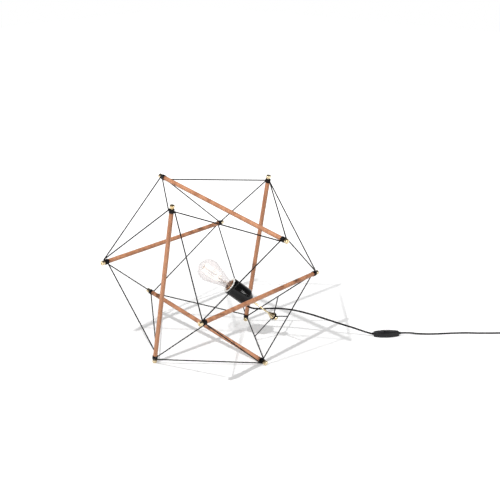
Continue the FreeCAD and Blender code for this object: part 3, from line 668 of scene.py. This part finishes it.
def oiledWood(name, turn, shift):
    # grain runs along the dowel: the turn brings the dowel's length onto Z
    material, tree, output = newMaterial(name)
    w = woodFinish
    calm = objectPlace(tree, (shift, shift * 1.3, shift), turn, (1, 1, w["stretch"] / 3))
    long = objectPlace(tree, (shift, shift * 0.7, shift * 3), turn, (1, 1, w["stretch"]))
    rings = noise(tree, calm, w["ringScale"], 2.0, 0.35)
    fibre = noise(tree, long, w["fibreScale"], 4.0, 0.55)
    pores = noise(tree, long, w["poreScale"], 2.0, 0.5)
    bands = [(0.30, w["dark"]), (0.44, w["middle"]), (0.56, w["light"]), (0.72, w["middle"])]
    base = ramp(tree, rings, bands)
    shades = [(0.34, (0.78, 0.77, 0.76)), (0.52, (1, 1, 1)), (0.7, (1.07, 1.06, 1.04))]
    streaks = ramp(tree, fibre, shades)
    tinted = blended(tree, "MULTIPLY", 0.7, base, streaks)
    mask = ramp(tree, pores, [(0.68, (0, 0, 0)), (0.76, (0.7, 0.7, 0.7))])
    colour = blended(tree, "MIX", mask, tinted, w["pore"])
    surface(
        tree,
        output,
        colour,
        between(tree, fibre, 0.3, 0.7, *w["roughness"]),
        bump(tree, fibre, 0.0001, 0.5),
        Specular_IOR_Level=0.5,
        Coat_Weight=0.12,
        Coat_Roughness=0.35,
    )
    return material


metalFinish = {
    "brass": dict(low=(0.50, 0.36, 0.18), high=(0.84, 0.72, 0.49), roughness=(0.1, 0.2), scale=95.0),
    "cap": dict(low=(0.40, 0.23, 0.13), high=(0.66, 0.42, 0.26), roughness=(0.28, 0.5), scale=140.0),
    "copper": dict(low=(0.42, 0.19, 0.105), high=(0.70, 0.38, 0.235), roughness=(0.28, 0.44), scale=120.0),
    "pin": dict(low=(0.55, 0.55, 0.53), high=(0.72, 0.72, 0.70), roughness=(0.18, 0.34), scale=110.0),
    "filament": dict(low=(0.50, 0.40, 0.30), high=(0.72, 0.60, 0.46), roughness=(0.4, 0.55), scale=300.0),
    "support": dict(low=(0.34, 0.24, 0.18), high=(0.50, 0.38, 0.30), roughness=(0.3, 0.45), scale=300.0),
}


def bareMetal(name, finish, **fixed):
    # tarnish in soft clouds, with the fine rings that the lathe leaves as bump
    material, tree, output = newMaterial(name)
    f = metalFinish[finish]
    place = objectPlace(tree)
    cloud = noise(tree, place, f["scale"], 4.0, 0.6)
    fine = noise(tree, place, f["scale"] * 26, 2.0, 0.5)
    colour = ramp(tree, cloud, [(0.34, f["low"]), (0.6, f["high"])])
    roughness = between(tree, cloud, 0.3, 0.7, *f["roughness"][::-1])
    lines = bump(tree, fine, 0.00002, 0.5)
    surface(tree, output, colour, roughness, lines, Metallic=1.0, **fixed)
    return material


coatFinish = {
    "steel": dict(
        low=(0.0035, 0.003, 0.0035),
        high=(0.008, 0.007, 0.0075),
        roughness=(0.36, 0.5),
        grain=1400.0,
        depth=0.00003,
        gloss=0.12,
    ),
    "glaze": dict(
        low=(0.0015, 0.0015, 0.002),
        high=(0.004, 0.004, 0.0045),
        roughness=(0.07, 0.12),
        grain=160.0,
        depth=0.00003,
        gloss=0.26,
    ),
    "china": dict(
        low=(0.74, 0.72, 0.68),
        high=(0.88, 0.87, 0.84),
        roughness=(0.12, 0.22),
        grain=220.0,
        depth=0.00006,
        gloss=0.5,
    ),
    "rubber": dict(
        low=(0.006, 0.005, 0.006),
        high=(0.013, 0.011, 0.0125),
        roughness=(0.46, 0.6),
        grain=2600.0,
        depth=0.00004,
        gloss=0.16,
    ),
    "plastic": dict(
        low=(0.007, 0.007, 0.008),
        high=(0.014, 0.014, 0.0155),
        roughness=(0.26, 0.38),
        grain=1900.0,
        depth=0.00004,
        gloss=0.28,
    ),
}


def coated(name, finish):
    # paint, glaze, rubber and plastic: a faint cloud of tone under a fine grain
    material, tree, output = newMaterial(name)
    f = coatFinish[finish]
    place = objectPlace(tree)
    cloud = noise(tree, place, 60.0, 3.0, 0.6)
    grain = noise(tree, place, f["grain"], 2.0, 0.5)
    colour = ramp(tree, cloud, [(0.32, f["low"]), (0.68, f["high"])])
    roughness = between(tree, grain, 0.3, 0.7, *f["roughness"])
    relief = bump(tree, grain, f["depth"], 0.6)
    surface(tree, output, colour, roughness, relief, Specular_IOR_Level=f["gloss"])
    return material


glassFinish = {
    "bulb": dict(face=(0.54, 0.38, 0.36), rim=(0.62, 0.57, 0.59), cover=(0.088, 0.22), rimStart=0.4),
    "mount": dict(face=(0.62, 0.50, 0.40), rim=(0.40, 0.30, 0.24), cover=(0.3, 0.6), rimStart=0.35),
}


def clearGlass(name, finish):
    # thin blown wall: the cover is how much of it shows, more where it is looked at aslant
    material, tree, output = newMaterial(name)
    f = glassFinish[finish]
    seeds = noise(tree, objectPlace(tree), 55.0, 2.0, 0.5)
    aslant = addNode(tree, "ShaderNodeLayerWeight")
    aslant.inputs["Blend"].default_value = 0.5
    facing = aslant.outputs["Facing"]
    tint = ramp(tree, facing, [(f["rimStart"], f["face"]), (1.0, f["rim"])])
    clouds = ramp(tree, seeds, [(0.3, (0.8, 0.8, 0.8)), (0.7, (1, 1, 1))])
    colour = blended(tree, "MULTIPLY", 0.1, tint, clouds)
    shader = surface(tree, output, colour, Roughness=0.04, IOR=1.45)
    cover = between(tree, facing, f["rimStart"], 1.0, *f["cover"])
    tree.links.new(cover, shader.inputs["Alpha"])
    return material


steelPaint = coated("satinBlackSteel", "steel")
blackGlaze = coated("blackPorcelainGlaze", "glaze")
whiteGlaze = coated("whitePorcelainGlaze", "china")
cordRubber = coated("cordSheath", "rubber")
switchPlastic = coated("switchMoulding", "plastic")
brass = bareMetal("turnedBrass", "brass")
capBrass = bareMetal("bulbCapBrass", "cap")
copper = bareMetal("shellCopper", "copper")
pinMetal = bareMetal("nickelledPins", "pin")
# painted glow: the filament shines a pale cream of its own, though the bulb is not lit and lights nothing
filamentPaintedGlow = {"Emission_Color": (1, 0.93, 0.82, 1), "Emission_Strength": 1.5}
filamentMetal = bareMetal("filamentWire", "filament", **filamentPaintedGlow)
supportMetal = bareMetal("supportWire", "support")
bulbGlass = clearGlass("bulbGlassClear", "bulb")
mountGlass = clearGlass("bulbMountGlass", "mount")
print("materials ready")


# ---- dowels, wire frames and the spider keep the CAD's own shapes
leanBack = math.radians(-cage["tilt"])
upright = (leanBack, 0, 0)
levelAcross = (0, math.radians(-90), 0)
levelBack = (math.radians(90 - cage["tilt"]), 0, 0)
dowelTurns = {
    "right": upright,
    "left": upright,
    "front": levelAcross,
    "back": levelAcross,
    "top": levelBack,
    "bottom": levelBack,
}
for i, (name, turn) in enumerate(dowelTurns.items()):
    shift = woodFinish["firstShift"] + woodFinish["nextShift"] * i
    paintNode("dowel_" + name, oiledWood("oiledWood" + name.capitalize(), turn, shift))
for name in nodes:
    if name.startswith("wire_frame") or name == "lamp_spider":
        paintNode(name, steelPaint)

# ---- turned brass knobs, one at each end of a dowel
knobShape = {
    "outline": [
        (0, -17.8), (3, -17.8), (3, 4.8), (4.8, 4.8), (4.8, 7.6), (5.0, 8.1), (5.9, 8.3),
        (6.5, 8.9), (6.5, 15.3), (6.25, 16.0), (5.6, 16.5), (4.9, 16.6), (2.6, 16.6),
        (1.9, 16.3), (1.1, 15.7), (0, 15.4),
    ],
    "edge": 0.18,
    "steps": 56,
}
far, wide = cage["halfJoint"], cage["halfSpacing"]
knobPlaces = {
    "right": [((wide, 0, side * far), (0, 0, side)) for side in (1, -1)],
    "left": [((-wide, 0, side * far), (0, 0, side)) for side in (1, -1)],
    "front": [((side * far, -wide, 0), (side, 0, 0)) for side in (1, -1)],
    "back": [((side * far, wide, 0), (side, 0, 0)) for side in (1, -1)],
    "top": [((0, side * far, wide), (0, side, 0)) for side in (1, -1)],
    "bottom": [((0, side * far, -wide), (0, side, 0)) for side in (1, -1)],
}
knob = turnedPiece("knob", knobShape["outline"], knobShape["steps"], knobShape["edge"], 2)
for name, ends in knobPlaces.items():
    pair = []
    for place, axis in ends:
        twin = copyOf(knob, "knobEnd")
        pair.append(settle(twin, cagePlace @ spotAt(place, axis)))
    pair = joined("knobs" + name.capitalize(), *pair)
    dress(pair, brass)
    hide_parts("knobs_" + name)
bpy.data.objects.remove(knob, do_unlink=True)
print("knobs turned")

# ---- brass between the spider and the holder
stemShape = {
    "collarHalf": 2.5,
    "coneFoot": 10.5,
    "coneTip": 3.1,
    "coneHeight": 17.0,
    "coneWaist": 0.15,
    "bore": 2.55,
    "stem": 2.5,
    "stemEnds": (-11.3, 91.9),
}


def lampTurned(name, node, outline, material, slot, body="cage", steps=72, edge=0.0, edgeSteps=3):
    piece = turnedPiece(name, outline, steps, edge, edgeSteps)
    return standIn(piece, lampPlace, node, material, body)


def hollowSide(foot, tip, low, high, waist, count):
    # a cone's side drawn in at the middle by the waist
    side = []
    for i in range(count + 1):
        t = i / count
        side.append((foot + (tip - foot) * t - waist * 4 * t * (1 - t), low + (high - low) * t))
    return side


s = stemShape
coneLow = s["collarHalf"] + 1
coneHigh = s["collarHalf"] + s["coneHeight"]
coneOutline = [(s["bore"], s["collarHalf"]), (s["coneFoot"], s["collarHalf"])]
coneOutline += hollowSide(s["coneFoot"], s["coneTip"], coneLow, coneHigh, s["coneWaist"], 10)
coneOutline += [(s["bore"], coneHigh), (s["bore"], s["collarHalf"])]
lampTurned("stemCone", "stem_cone", coneOutline, brass, "turned_brass", edge=0.2)
hubOutline = [
    (s["bore"], -s["collarHalf"]), (4.8, -s["collarHalf"]), (4.8, -4.0), (5.0, -4.3),
    (5.9, -4.4), (6.5, -5.0), (6.5, -11.4), (6.2, -12.1), (5.5, -12.6), (0, -12.6),
    (0, -11.5), (s["bore"], -11.5), (s["bore"], -s["collarHalf"]),
]
lampTurned("hubKnob", "hub_knob", hubOutline, brass, "turned_brass", edge=0.18, edgeSteps=2)
low, high = s["stemEnds"]
rodOutline = [(0, low), (s["stem"], low), (s["stem"], high), (0, high)]
lampTurned("lampStem", "lamp_stem", rodOutline, brass, "turned_brass", edge=0.4)
unionOutline = [
    (s["bore"], 74.9), (4.5, 74.9), (5.5, 76.9), (5.5, 80.6), (5.1, 81.0), (5.1, 81.5),
    (5.5, 81.9), (5.5, 88.9), (4.0, 88.9), (4.0, high), (s["bore"], high),
    (s["bore"], 74.9),
]
lampTurned("socketUnion", "socket_union", unionOutline, brass, "turned_brass", edge=0.15, edgeSteps=2)

# ---- porcelain holder
holder = {
    "foot": 88.9,
    "footRadius": 13.5,
    "radius": 24.5,
    "taper": 15.5,
    "rim": 164.9,
    "wellRadius": 22.15,
    "well": 130.9,
    "lip": 0.9,  # how far the white collar stands above the black rim
    "threadPitch": 3.62,
}
h = holder
glazed = {"steps": 96, "edge": 0.12, "edgeSteps": 2}
shoulder = h["foot"] + h["taper"]
bodyOutline = [
    (0, h["foot"]),
    (h["footRadius"] - 1.2, h["foot"]),
    (h["footRadius"] - 0.3, h["foot"] + 0.4),
    (h["footRadius"] + 0.5, h["foot"] + 1.4),
    (h["radius"] - 1.7, shoulder - 2.0),
    (h["radius"] - 0.8, shoulder - 0.6),
    (h["radius"] - 0.2, shoulder + 0.8),
    (h["radius"], shoulder + 2.6),
    (h["radius"], h["rim"] - 1.7),
    (h["radius"] - 0.25, h["rim"] - 0.8),
    (h["radius"] - 0.9, h["rim"] - 0.15),
    (h["radius"] - 1.6, h["rim"]),
    (h["wellRadius"], h["rim"]),
    (h["wellRadius"], h["well"]),
    (0, h["well"]),
]
lampTurned("holderBody", "socket_body", bodyOutline, blackGlaze, "black_porcelain", **glazed)
lip = h["rim"] + h["lip"]
insertOutline = [
    (14.85, h["well"]),
    (22.0, h["well"]),
    (22.0, h["rim"] + 0.02),
    (23.3, h["rim"] + 0.02),
    (23.5, h["rim"] + 0.3),
    (23.1, lip - 0.2),
    (22.3, lip),
    (17.6, lip),
    (16.8, lip - 0.3),
    (16.45, lip - 1.2),
    (16.45, h["rim"] - 1.2),
    (14.85, h["rim"] - 3.6),
    (14.85, h["well"]),
]
lampTurned("holderInsert", "socket_insert", insertOutline, whiteGlaze, "white_porcelain", **glazed)
shellOutline = [
    (0, 136.1),
    (14.7, 136.1),
    (14.7, 161.3),
    (16.35, 164.3),
    (15.55, 164.3),
    (13.9, 161.3),
    (13.9, 136.9),
    (0, 136.9),
]
shell = turnedPiece("holderShell", shellOutline, 96, 0.1, 2)
shellThread = threadRidge("shellThread", 13.98, 13.5, h["threadPitch"], 6, 138.2)
shell = joined("holderShell", shell, shellThread)
standIn(shell, lampPlace, "socket_shell", copper)
contactOutline = [(0, 136.9), (6, 136.9), (6, 137.9), (5.2, 138.6), (3.0, 139.9), (0, 139.9)]
lampTurned("holderContact", "socket_contact", contactOutline, copper, "copper_shell", edge=0.15)
ribbedSleeve = [(0, -4), (3.5, -4), (3.5, 0.9), (4.6, 0.9), (5, 1.2), (5, 2.7), (4.7, 3.1)]
for i in range(5):
    z = 3.9 + 3.0 * i
    r = 4.55 - i * 0.2
    ribbedSleeve += [(r, z), (r - 0.55, z + 0.35), (r - 0.6, z + 1.15), (r - 0.08, z + 1.5)]
ribbedSleeve += [(3.5, 19.2), (3.2, 20), (0, 20)]
glandPiece = turnedPiece("cordGland", ribbedSleeve, 48)
glandPlace = lampPlace @ spotAt(glandBase, glandOut)
standIn(glandPiece, glandPlace, "cord_gland", cordRubber)
print("holder turned")

# ---- bulb: cap, envelope, stem and filament
bulb = {
    "capTop": 168.8,
    "neckRadius": 12.5,
    "neckCurve": 30.0,
    "ballRadius": 32.0,
    "widest": 241.6,
    "wall": 0.9,
    "tipRadius": 2.5,
    "tipLength": 4.8,
    "postTop": 263.4,
    "pinch": 186.4,
    "press": (0.177, 0.1857),  # metres along the lamp between which the glass stem is pressed flat
    "pressed": (1.25, 0.62, 1),
    "bendLow": 202.0,
    "bendHigh": 260.0,
    "bow": (15.2, 232.0),
    "reachLow": 10.5,
    "reachHigh": 11.0,
    "loops": 6,
    "filament": 0.9,
    "bendRound": 1.2,  # how near a bend the bars start to turn
    "leadStart": (3.8, 182.4),
    "lead": 0.8,
    "hookStart": 0.85,
    "hook": 0.6,
    "grip": 0.75,  # how far from the filament's middle the leads and hooks end
}
b = bulb
buttonOutline = [(0, 140.15), (1.9, 140.15), (2.6, 140.4), (4.2, 141.3), (4.5, 141.75), (0, 141.75)]
fineEdge = {"edge": 0.12, "edgeSteps": 2}
lampTurned("bulbButton", "bulb_button", buttonOutline, capBrass, "cap_brass", "bulb_foot", **fineEdge)
capOutline = [
    (0, 143.3), (9.4, 143.3), (9.6, 142.9), (12.6, 144.9), (12.7, 145.6), (12.7, 163.6),
    (13.2, 164.3), (13.2, 168.6), (13.0, 168.8), (12.6, 168.8), (12.6, 164.6),
    (12.1, 164.0), (12.1, 145.8), (11.9, 145.4), (0, 145.4),
]
cap = turnedPiece("bulbCap", capOutline, 96, 0.08, 2)
capThread = threadRidge("capThread", 12.62, 13.2, h["threadPitch"], 4, 146.6)
cap = joined("bulbCap", cap, capThread)
standIn(cap, lampPlace, "bulb_cap", capBrass, "bulb")
insulatorOutline = [(0, 141.8), (6.6, 141.8), (7.2, 142.0), (9.5, 142.85), (9.3, 143.25), (0, 143.25)]
insulator = settle(turnedPiece("capInsulator", insulatorOutline, 72, 0.1, 2), lampPlace)
dress(insulator, blackGlaze, "bulb")


def envelopeSide(inset, tipRadius):
    # from the neck up to the crown: the neck curves out into a straight flank and a round crown
    neck, hollow, ball = b["neckRadius"] - inset, b["neckCurve"] + inset, b["ballRadius"] - inset
    bend = b["capTop"] + 1
    across, rise = neck + hollow, b["widest"] - bend
    slope = math.atan2(rise, across) - math.acos((ball + hollow) / math.hypot(across, rise))
    side = [(across - r, z) for r, z in arcPoints((0, bend), hollow, 0, slope, 10)]
    flank = arcPoints((0, b["widest"]), ball, -slope, math.acos(tipRadius / ball), 30)
    start, end = side[-1], flank[0]
    steps = []
    for i in range(1, 6):
        steps.append(tuple(first + (last - first) * i / 6 for first, last in zip(start, end)))
    return [(neck, b["capTop"] - 4)] + side + steps + flank


outer = envelopeSide(0, b["tipRadius"])
inner = envelopeSide(b["wall"], b["tipRadius"] / 2)
crown = outer[-1][1]
peak = crown + b["tipLength"]
nipple = [(1.9, crown + 0.7), (1.5, crown + 2.0), (1.2, peak - 1.0)]
nipple += [(0.9, peak - 0.3), (0.4, peak), (0, peak)]
glassOutline = [(0, inner[-1][1])] + inner[::-1] + outer + nipple
lampTurned("bulbGlass", "bulb_glass", glassOutline, bulbGlass, "clear_glass", "bulb", 96)
stemOutline = [
    (0, 145.5), (7.4, 145.5), (6.6, 148.5), (5.2, 152.5), (4.5, 157.4), (4.0, 165.0),
    (3.6, 172.0), (3.2, 178.0), (3.0, 181.5), (2.9, 184.0), (2.3, 185.6),
    (0.8, b["pinch"]),
    (0.8, b["postTop"] - 1.2),
    (1.15, b["postTop"] - 0.8),
    (1.15, b["postTop"] - 0.25),
    (0.8, b["postTop"]),
    (0, b["postTop"]),
]
mount = turnedPiece("bulbMount", stemOutline, 40)
chooseVerts(mount, lambda co: b["press"][0] < co.z < b["press"][1])
bpy.ops.transform.resize(value=b["pressed"])
leaveEdit()
standIn(mount, lampPlace, "bulb_mount", mountGlass, "bulb")
bends = []
for i in range(b["loops"]):
    a = 2 * math.pi * i / b["loops"]
    ends = [(b["reachLow"], b["bendLow"]), (b["reachHigh"], b["bendHigh"])]
    for reach, z in ends if i % 2 == 0 else ends[::-1]:
        bends.append(Vector((reach * math.cos(a), reach * math.sin(a), z)))


def outward(place):
    # the direction away from the lamp's axis
    return Vector((place.x, place.y, 0)).normalized()


line = []
for i, here in enumerate(bends):
    if 0 < i < len(bends) - 1:
        # a point close to the bend on each side of it keeps the bends narrow
        before, after = (bends[i - 1] - here).normalized(), (bends[i + 1] - here).normalized()
        line += [here + before * b["bendRound"], here, here + after * b["bendRound"]]
    else:
        line.append(here)
    if i < len(bends) - 1:
        # the bars bow outwards half way
        line.append(outward(here + bends[i + 1]) * b["bow"][0] + Vector((0, 0, b["bow"][1])))
filament = wirePiece("bulbFilament", [line], b["filament"], 5)
standIn(filament, lampPlace, "bulb_filament", filamentMetal, "bulb")
leads = []
for end in (bends[0], bends[-1]):
    out = outward(end)
    start = out * b["leadStart"][0] + Vector((0, 0, b["leadStart"][1]))
    reach = (end - start).normalized()
    leads.append([start - out * 0.6, start + reach * 2, end - reach * 3, end - reach * b["grip"]])
leadsPiece = wirePiece("bulbLeads", leads, b["lead"])
standIn(leadsPiece, lampPlace, "bulb_leads", supportMetal, "bulb")
hooks = []
for bend in bends[1:-1]:
    out = outward(bend)
    root = out * b["hookStart"] + Vector((0, 0, bend.z))
    tip = bend - out * b["grip"]
    hooks.append([root, root + out * 2, tip - out * 1.5, tip])
hooksPiece = wirePiece("bulbHooks", hooks, b["hook"], 3)
standIn(hooksPiece, lampPlace, "bulb_hooks", supportMetal, "bulb")
print("bulb made")

# ---- hand switch on the cord
switchShape = {
    "length": 74.96,
    "width": 26.0,
    "endWidth": 10.0,
    "seam": 9.5,
    "top": 16.0,
    "edge": 3.4,
    "slot": (17.5, 10.0),
    "hollow": (44.0, 12.0),
    "wall": 2.0,
    "bushSeat": 3.35,
    "bushDepth": 3.0,
    "rocker": (16.0, 9.4),
    "rockerRise": 1.8,  # the rocker's ends above the cover, and the dip between them
    "rockerDip": 1.0,
    "rockerFoot": 7.5,
    "pivot": 12.0,
    "pivotBore": 1.31,
    "tilt": 8.0,
}


def spindleOutline(length, width, endWidth, height, count):
    # two arcs that meet the narrow ends
    half, bulge = length / 2, (width - endWidth) / 2
    radius = (half * half + bulge * bulge) / (2 * bulge)
    sweep = math.asin(half / radius)
    turns = [-sweep + 2 * sweep * i / count for i in range(count + 1)]
    side = [(radius * math.sin(a), radius * math.cos(a) - radius + width / 2, height) for a in turns]
    return side + [(-x, -y, z) for x, y, z in side]


def switchShell(name, node, low, high, rim):
    w = switchShape
    outline = spindleOutline(w["length"], w["width"], w["endWidth"], low, 22)
    piece = raisedOutline(name, outline, (0, 0, high - low))
    chooseEdges(piece, lambda p, q: max(abs(p.z - rim * mm), abs(q.z - rim * mm)) < tiny)
    bpy.ops.mesh.bevel(offset=w["edge"] * mm, segments=6, affect="EDGES")
    leaveEdit()
    l, d = (value / 2 for value in w["hollow"])
    if rim == low:
        carve(piece, softBox("hollow", (-l, -d, w["wall"]), (l, d, high + 1), 0))
    else:
        carve(piece, softBox("hollow", (-l, -d, low - 1), (l, d, high - w["wall"]), 0))
        l, d = (value / 2 for value in w["slot"])
        carve(piece, softBox("slot", (-l, -d, low), (l, d, high + 2), 1.0))
    for side in (-1, 1):
        end = side * (w["length"] / 2 - w["bushDepth"])
        seat = turnedPiece("seat", [(0, 0), (w["bushSeat"], 0), (w["bushSeat"], 8), (0, 8)], 32)
        carve(piece, settle(seat, spotAt((end, 0, w["seam"]), (side, 0, 0))))
    roundEdges(piece, 0.22, 2, 40)
    return standIn(piece, switchPlace, node, switchPlastic)


w = switchShape
switchBase = switchShell("switchBase", "switch_base", 0, w["seam"], 0)
switchCover = switchShell("switchCover", "switch_cover", w["seam"], w["top"], w["top"])
x, y = (value / 2 for value in w["rocker"])
crest = w["top"] + w["rockerRise"]
profile = [(-x, -y, crest)]
profile += [(x * t / 4, -y, crest - w["rockerDip"] * (1 - (t / 4) ** 2)) for t in range(-3, 4)]
profile += [(x, -y, crest), (x, -y, w["pivot"]), (x / 3, -y, w["rockerFoot"])]
profile += [(-x / 3, -y, w["rockerFoot"]), (-x, -y, w["pivot"])]
rocker = raisedOutline("switchRocker", profile, (0, 2 * y, 0))
bore = turnedPiece("bore", [(0, -8), (w["pivotBore"], -8), (w["pivotBore"], 8), (0, 8)], 32)
carve(rocker, settle(bore, spotAt((0, 0, w["pivot"]), (0, 1, 0))))
roundEdges(rocker, 0.35, 3, 35)
pivot = Matrix.Translation((0, 0, w["pivot"] * mm))
pressed = pivot @ Matrix.Rotation(math.radians(w["tilt"]), 4, "Y") @ pivot.inverted()
rockerPlace = switchPlace @ pressed
standIn(rocker, rockerPlace, "switch_rocker", switchPlastic, "rocker")
bushOutline = [
    (0, -3), (3.2, -3), (3.2, 0.05), (4.0, 0.05), (3.95, 1.4), (3.45, 1.7), (3.4, 2.3),
    (3.75, 2.6), (3.6, 3.8), (3.2, 4.1), (3.15, 4.6), (3.4, 4.9), (3.2, 5.8), (3.0, 6),
    (0, 6),
]
bush = turnedPiece("bush", bushOutline, 48)
bushes = []
for side in (-1, 1):
    spot = spotAt((side * w["length"] / 2, 0, w["seam"]), (side, 0, 0))
    bushes.append(settle(copyOf(bush, "switchBush"), switchPlace @ spot))
bpy.data.objects.remove(bush, do_unlink=True)
switchBushes = joined("switchBushes", *bushes)
dress(switchBushes, cordRubber)
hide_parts("switch_bushes")
for name in ("rocker_pin", "switch_contacts"):
    paintNode(name, pinMetal)
print("switch moulded")

# ---- two-pin plug with its boot, and the strap round the coil
plugShape = {
    "boot": 22.0,
    "length": 36.0,
    "width": 35.0,
    "nose": 26.0,
    "thickness": 13.7,
    "pinSpacing": 18.6,
    "sleeve": 10.0,
    "pin": 19.0,
    "corner": 2.0,
    "grips": 3,
    "gripStep": 4.2,
}
p = plugShape
low, face = p["boot"], p["boot"] + p["length"]
thick, half, nose = p["thickness"] / 2, p["width"] / 2, p["nose"] / 2
corners = [(-nose, low), (nose, low), (half, low + p["length"] / 2), (half, face), (-half, face)]
corners.append((-half, low + p["length"] / 2))
plugBody = raisedOutline("plugBody", [(-thick, y, z) for y, z in corners], (p["thickness"], 0, 0))
chooseEdges(plugBody, lambda a, b: abs(a.x - b.x) < tiny)
bpy.ops.mesh.bevel(offset=p["corner"] * mm, segments=5, affect="EDGES")
leaveEdit()
for side in (-1, 1):
    for i in range(p["grips"]):
        z = low + 5 + p["gripStep"] * i
        y = side * (nose + (z - low) / (p["length"] / 2) * (half - nose) + 0.55)
        groove = softBox("groove", (-4.2, y - 1.1, z - 0.9), (4.2, y + 1.1, z + 0.9), 0.5)
        carve(plugBody, groove)
roundEdges(plugBody, 0.3, 2, 35)
standIn(plugBody, plugPlace, "plug_body", switchPlastic)
bootOutline = [(0, 0), (3.1, 0), (3.45, 0.4)]
for i in range(6):
    z = 1.6 + 3.2 * i
    r = 3.5 + z / p["boot"] * 1.5
    bootOutline += [(r, z), (r - 0.6, z + 0.35), (r - 0.55, z + 1.2), (r + 0.12, z + 1.55)]
bootOutline += [(5.0, 20.8), (5.0, 22.0), (3.5, 22.0), (3.5, 26.0), (0, 26.0)]
plugBoot = turnedPiece("plugBoot", bootOutline, 48)
standIn(plugBoot, plugPlace, "plug_boot", cordRubber)


def twoAlong(name, node, outline, material):
    # the same turned piece on both of the plug's pins
    pair = []
    for side in (-1, 1):
        spot = Matrix.Translation((0, side * p["pinSpacing"] / 2 * mm, 0))
        pair.append(settle(turnedPiece(name, outline, 40), plugPlace @ spot))
    pair = joined(name, *pair)
    dress(pair, material)
    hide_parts(node)
    return pair


sleeveEnd, pinEnd = face + p["sleeve"], face + p["pin"]
pinOutline = [(0, face - 8), (1.5, face - 8), (1.5, sleeveEnd), (1.9, sleeveEnd)]
pinOutline += [(2.0, sleeveEnd + 0.1)]
pinOutline += [(r, z) for r, z in arcPoints((0.6, pinEnd - 1.4), 1.4, 0, math.pi / 2, 6)]
pinOutline += [(0, pinEnd)]
plugPins = twoAlong("plugPins", "plug_pins", pinOutline, pinMetal)
sleeveOutline = [(1.55, face), (1.75, face), (1.75, sleeveEnd - 0.2), (1.65, sleeveEnd)]
sleeveOutline += [(1.55, sleeveEnd), (1.55, face)]
pinSleeves = twoAlong("pinSleeves", "pin_sleeves", sleeveOutline, switchPlastic)

tieShape = {
    "turn": 235.0,
    "near": 15.56,  # from the coil's middle to the inside of the strap
    "far": 34.98,
    "low": 0.9,
    "high": 12.4,
    "thick": 0.9,
    "width": 12.0,
    "corner": 2.0,
}


def strapOutline(grow):
    # a rounded rectangle seen along the strap's width
    t = tieShape
    radius = t["corner"] + grow
    points = []
    x0, x1 = t["near"] + t["corner"], t["far"] - t["corner"]
    z0, z1 = t["low"] + t["corner"], t["high"] - t["corner"]
    for i, (x, z) in enumerate(((x1, z1), (x0, z1), (x0, z0), (x1, z0))):
        for u, v in arcPoints((x, z), radius, math.pi / 2 * i, math.pi / 2 * (i + 1), 5):
            points.append((u, -t["width"] / 2, v))
    return points


strap = raisedOutline("coilStrap", strapOutline(tieShape["thick"]), (0, tieShape["width"], 0))
coreOutline = [(x, y - 1, z) for x, y, z in strapOutline(0)]
core = raisedOutline("strapCore", coreOutline, (0, tieShape["width"] + 2, 0))
carve(strap, core)
roundEdges(strap, 0.2, 2, 40)
strapTurn = Matrix.Rotation(math.radians(tieShape["turn"]), 4, "Z")
strapPlace = Matrix.Translation(coilMiddle) @ strapTurn
standIn(strap, strapPlace, "cord_tie", switchPlastic)
print("plug and strap made")

dress(cordToSwitch, cordRubber)
dress(cordToPlug, cordRubber)
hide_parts("cord_to_switch")
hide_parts("cord_on_floor", "cord_coil")
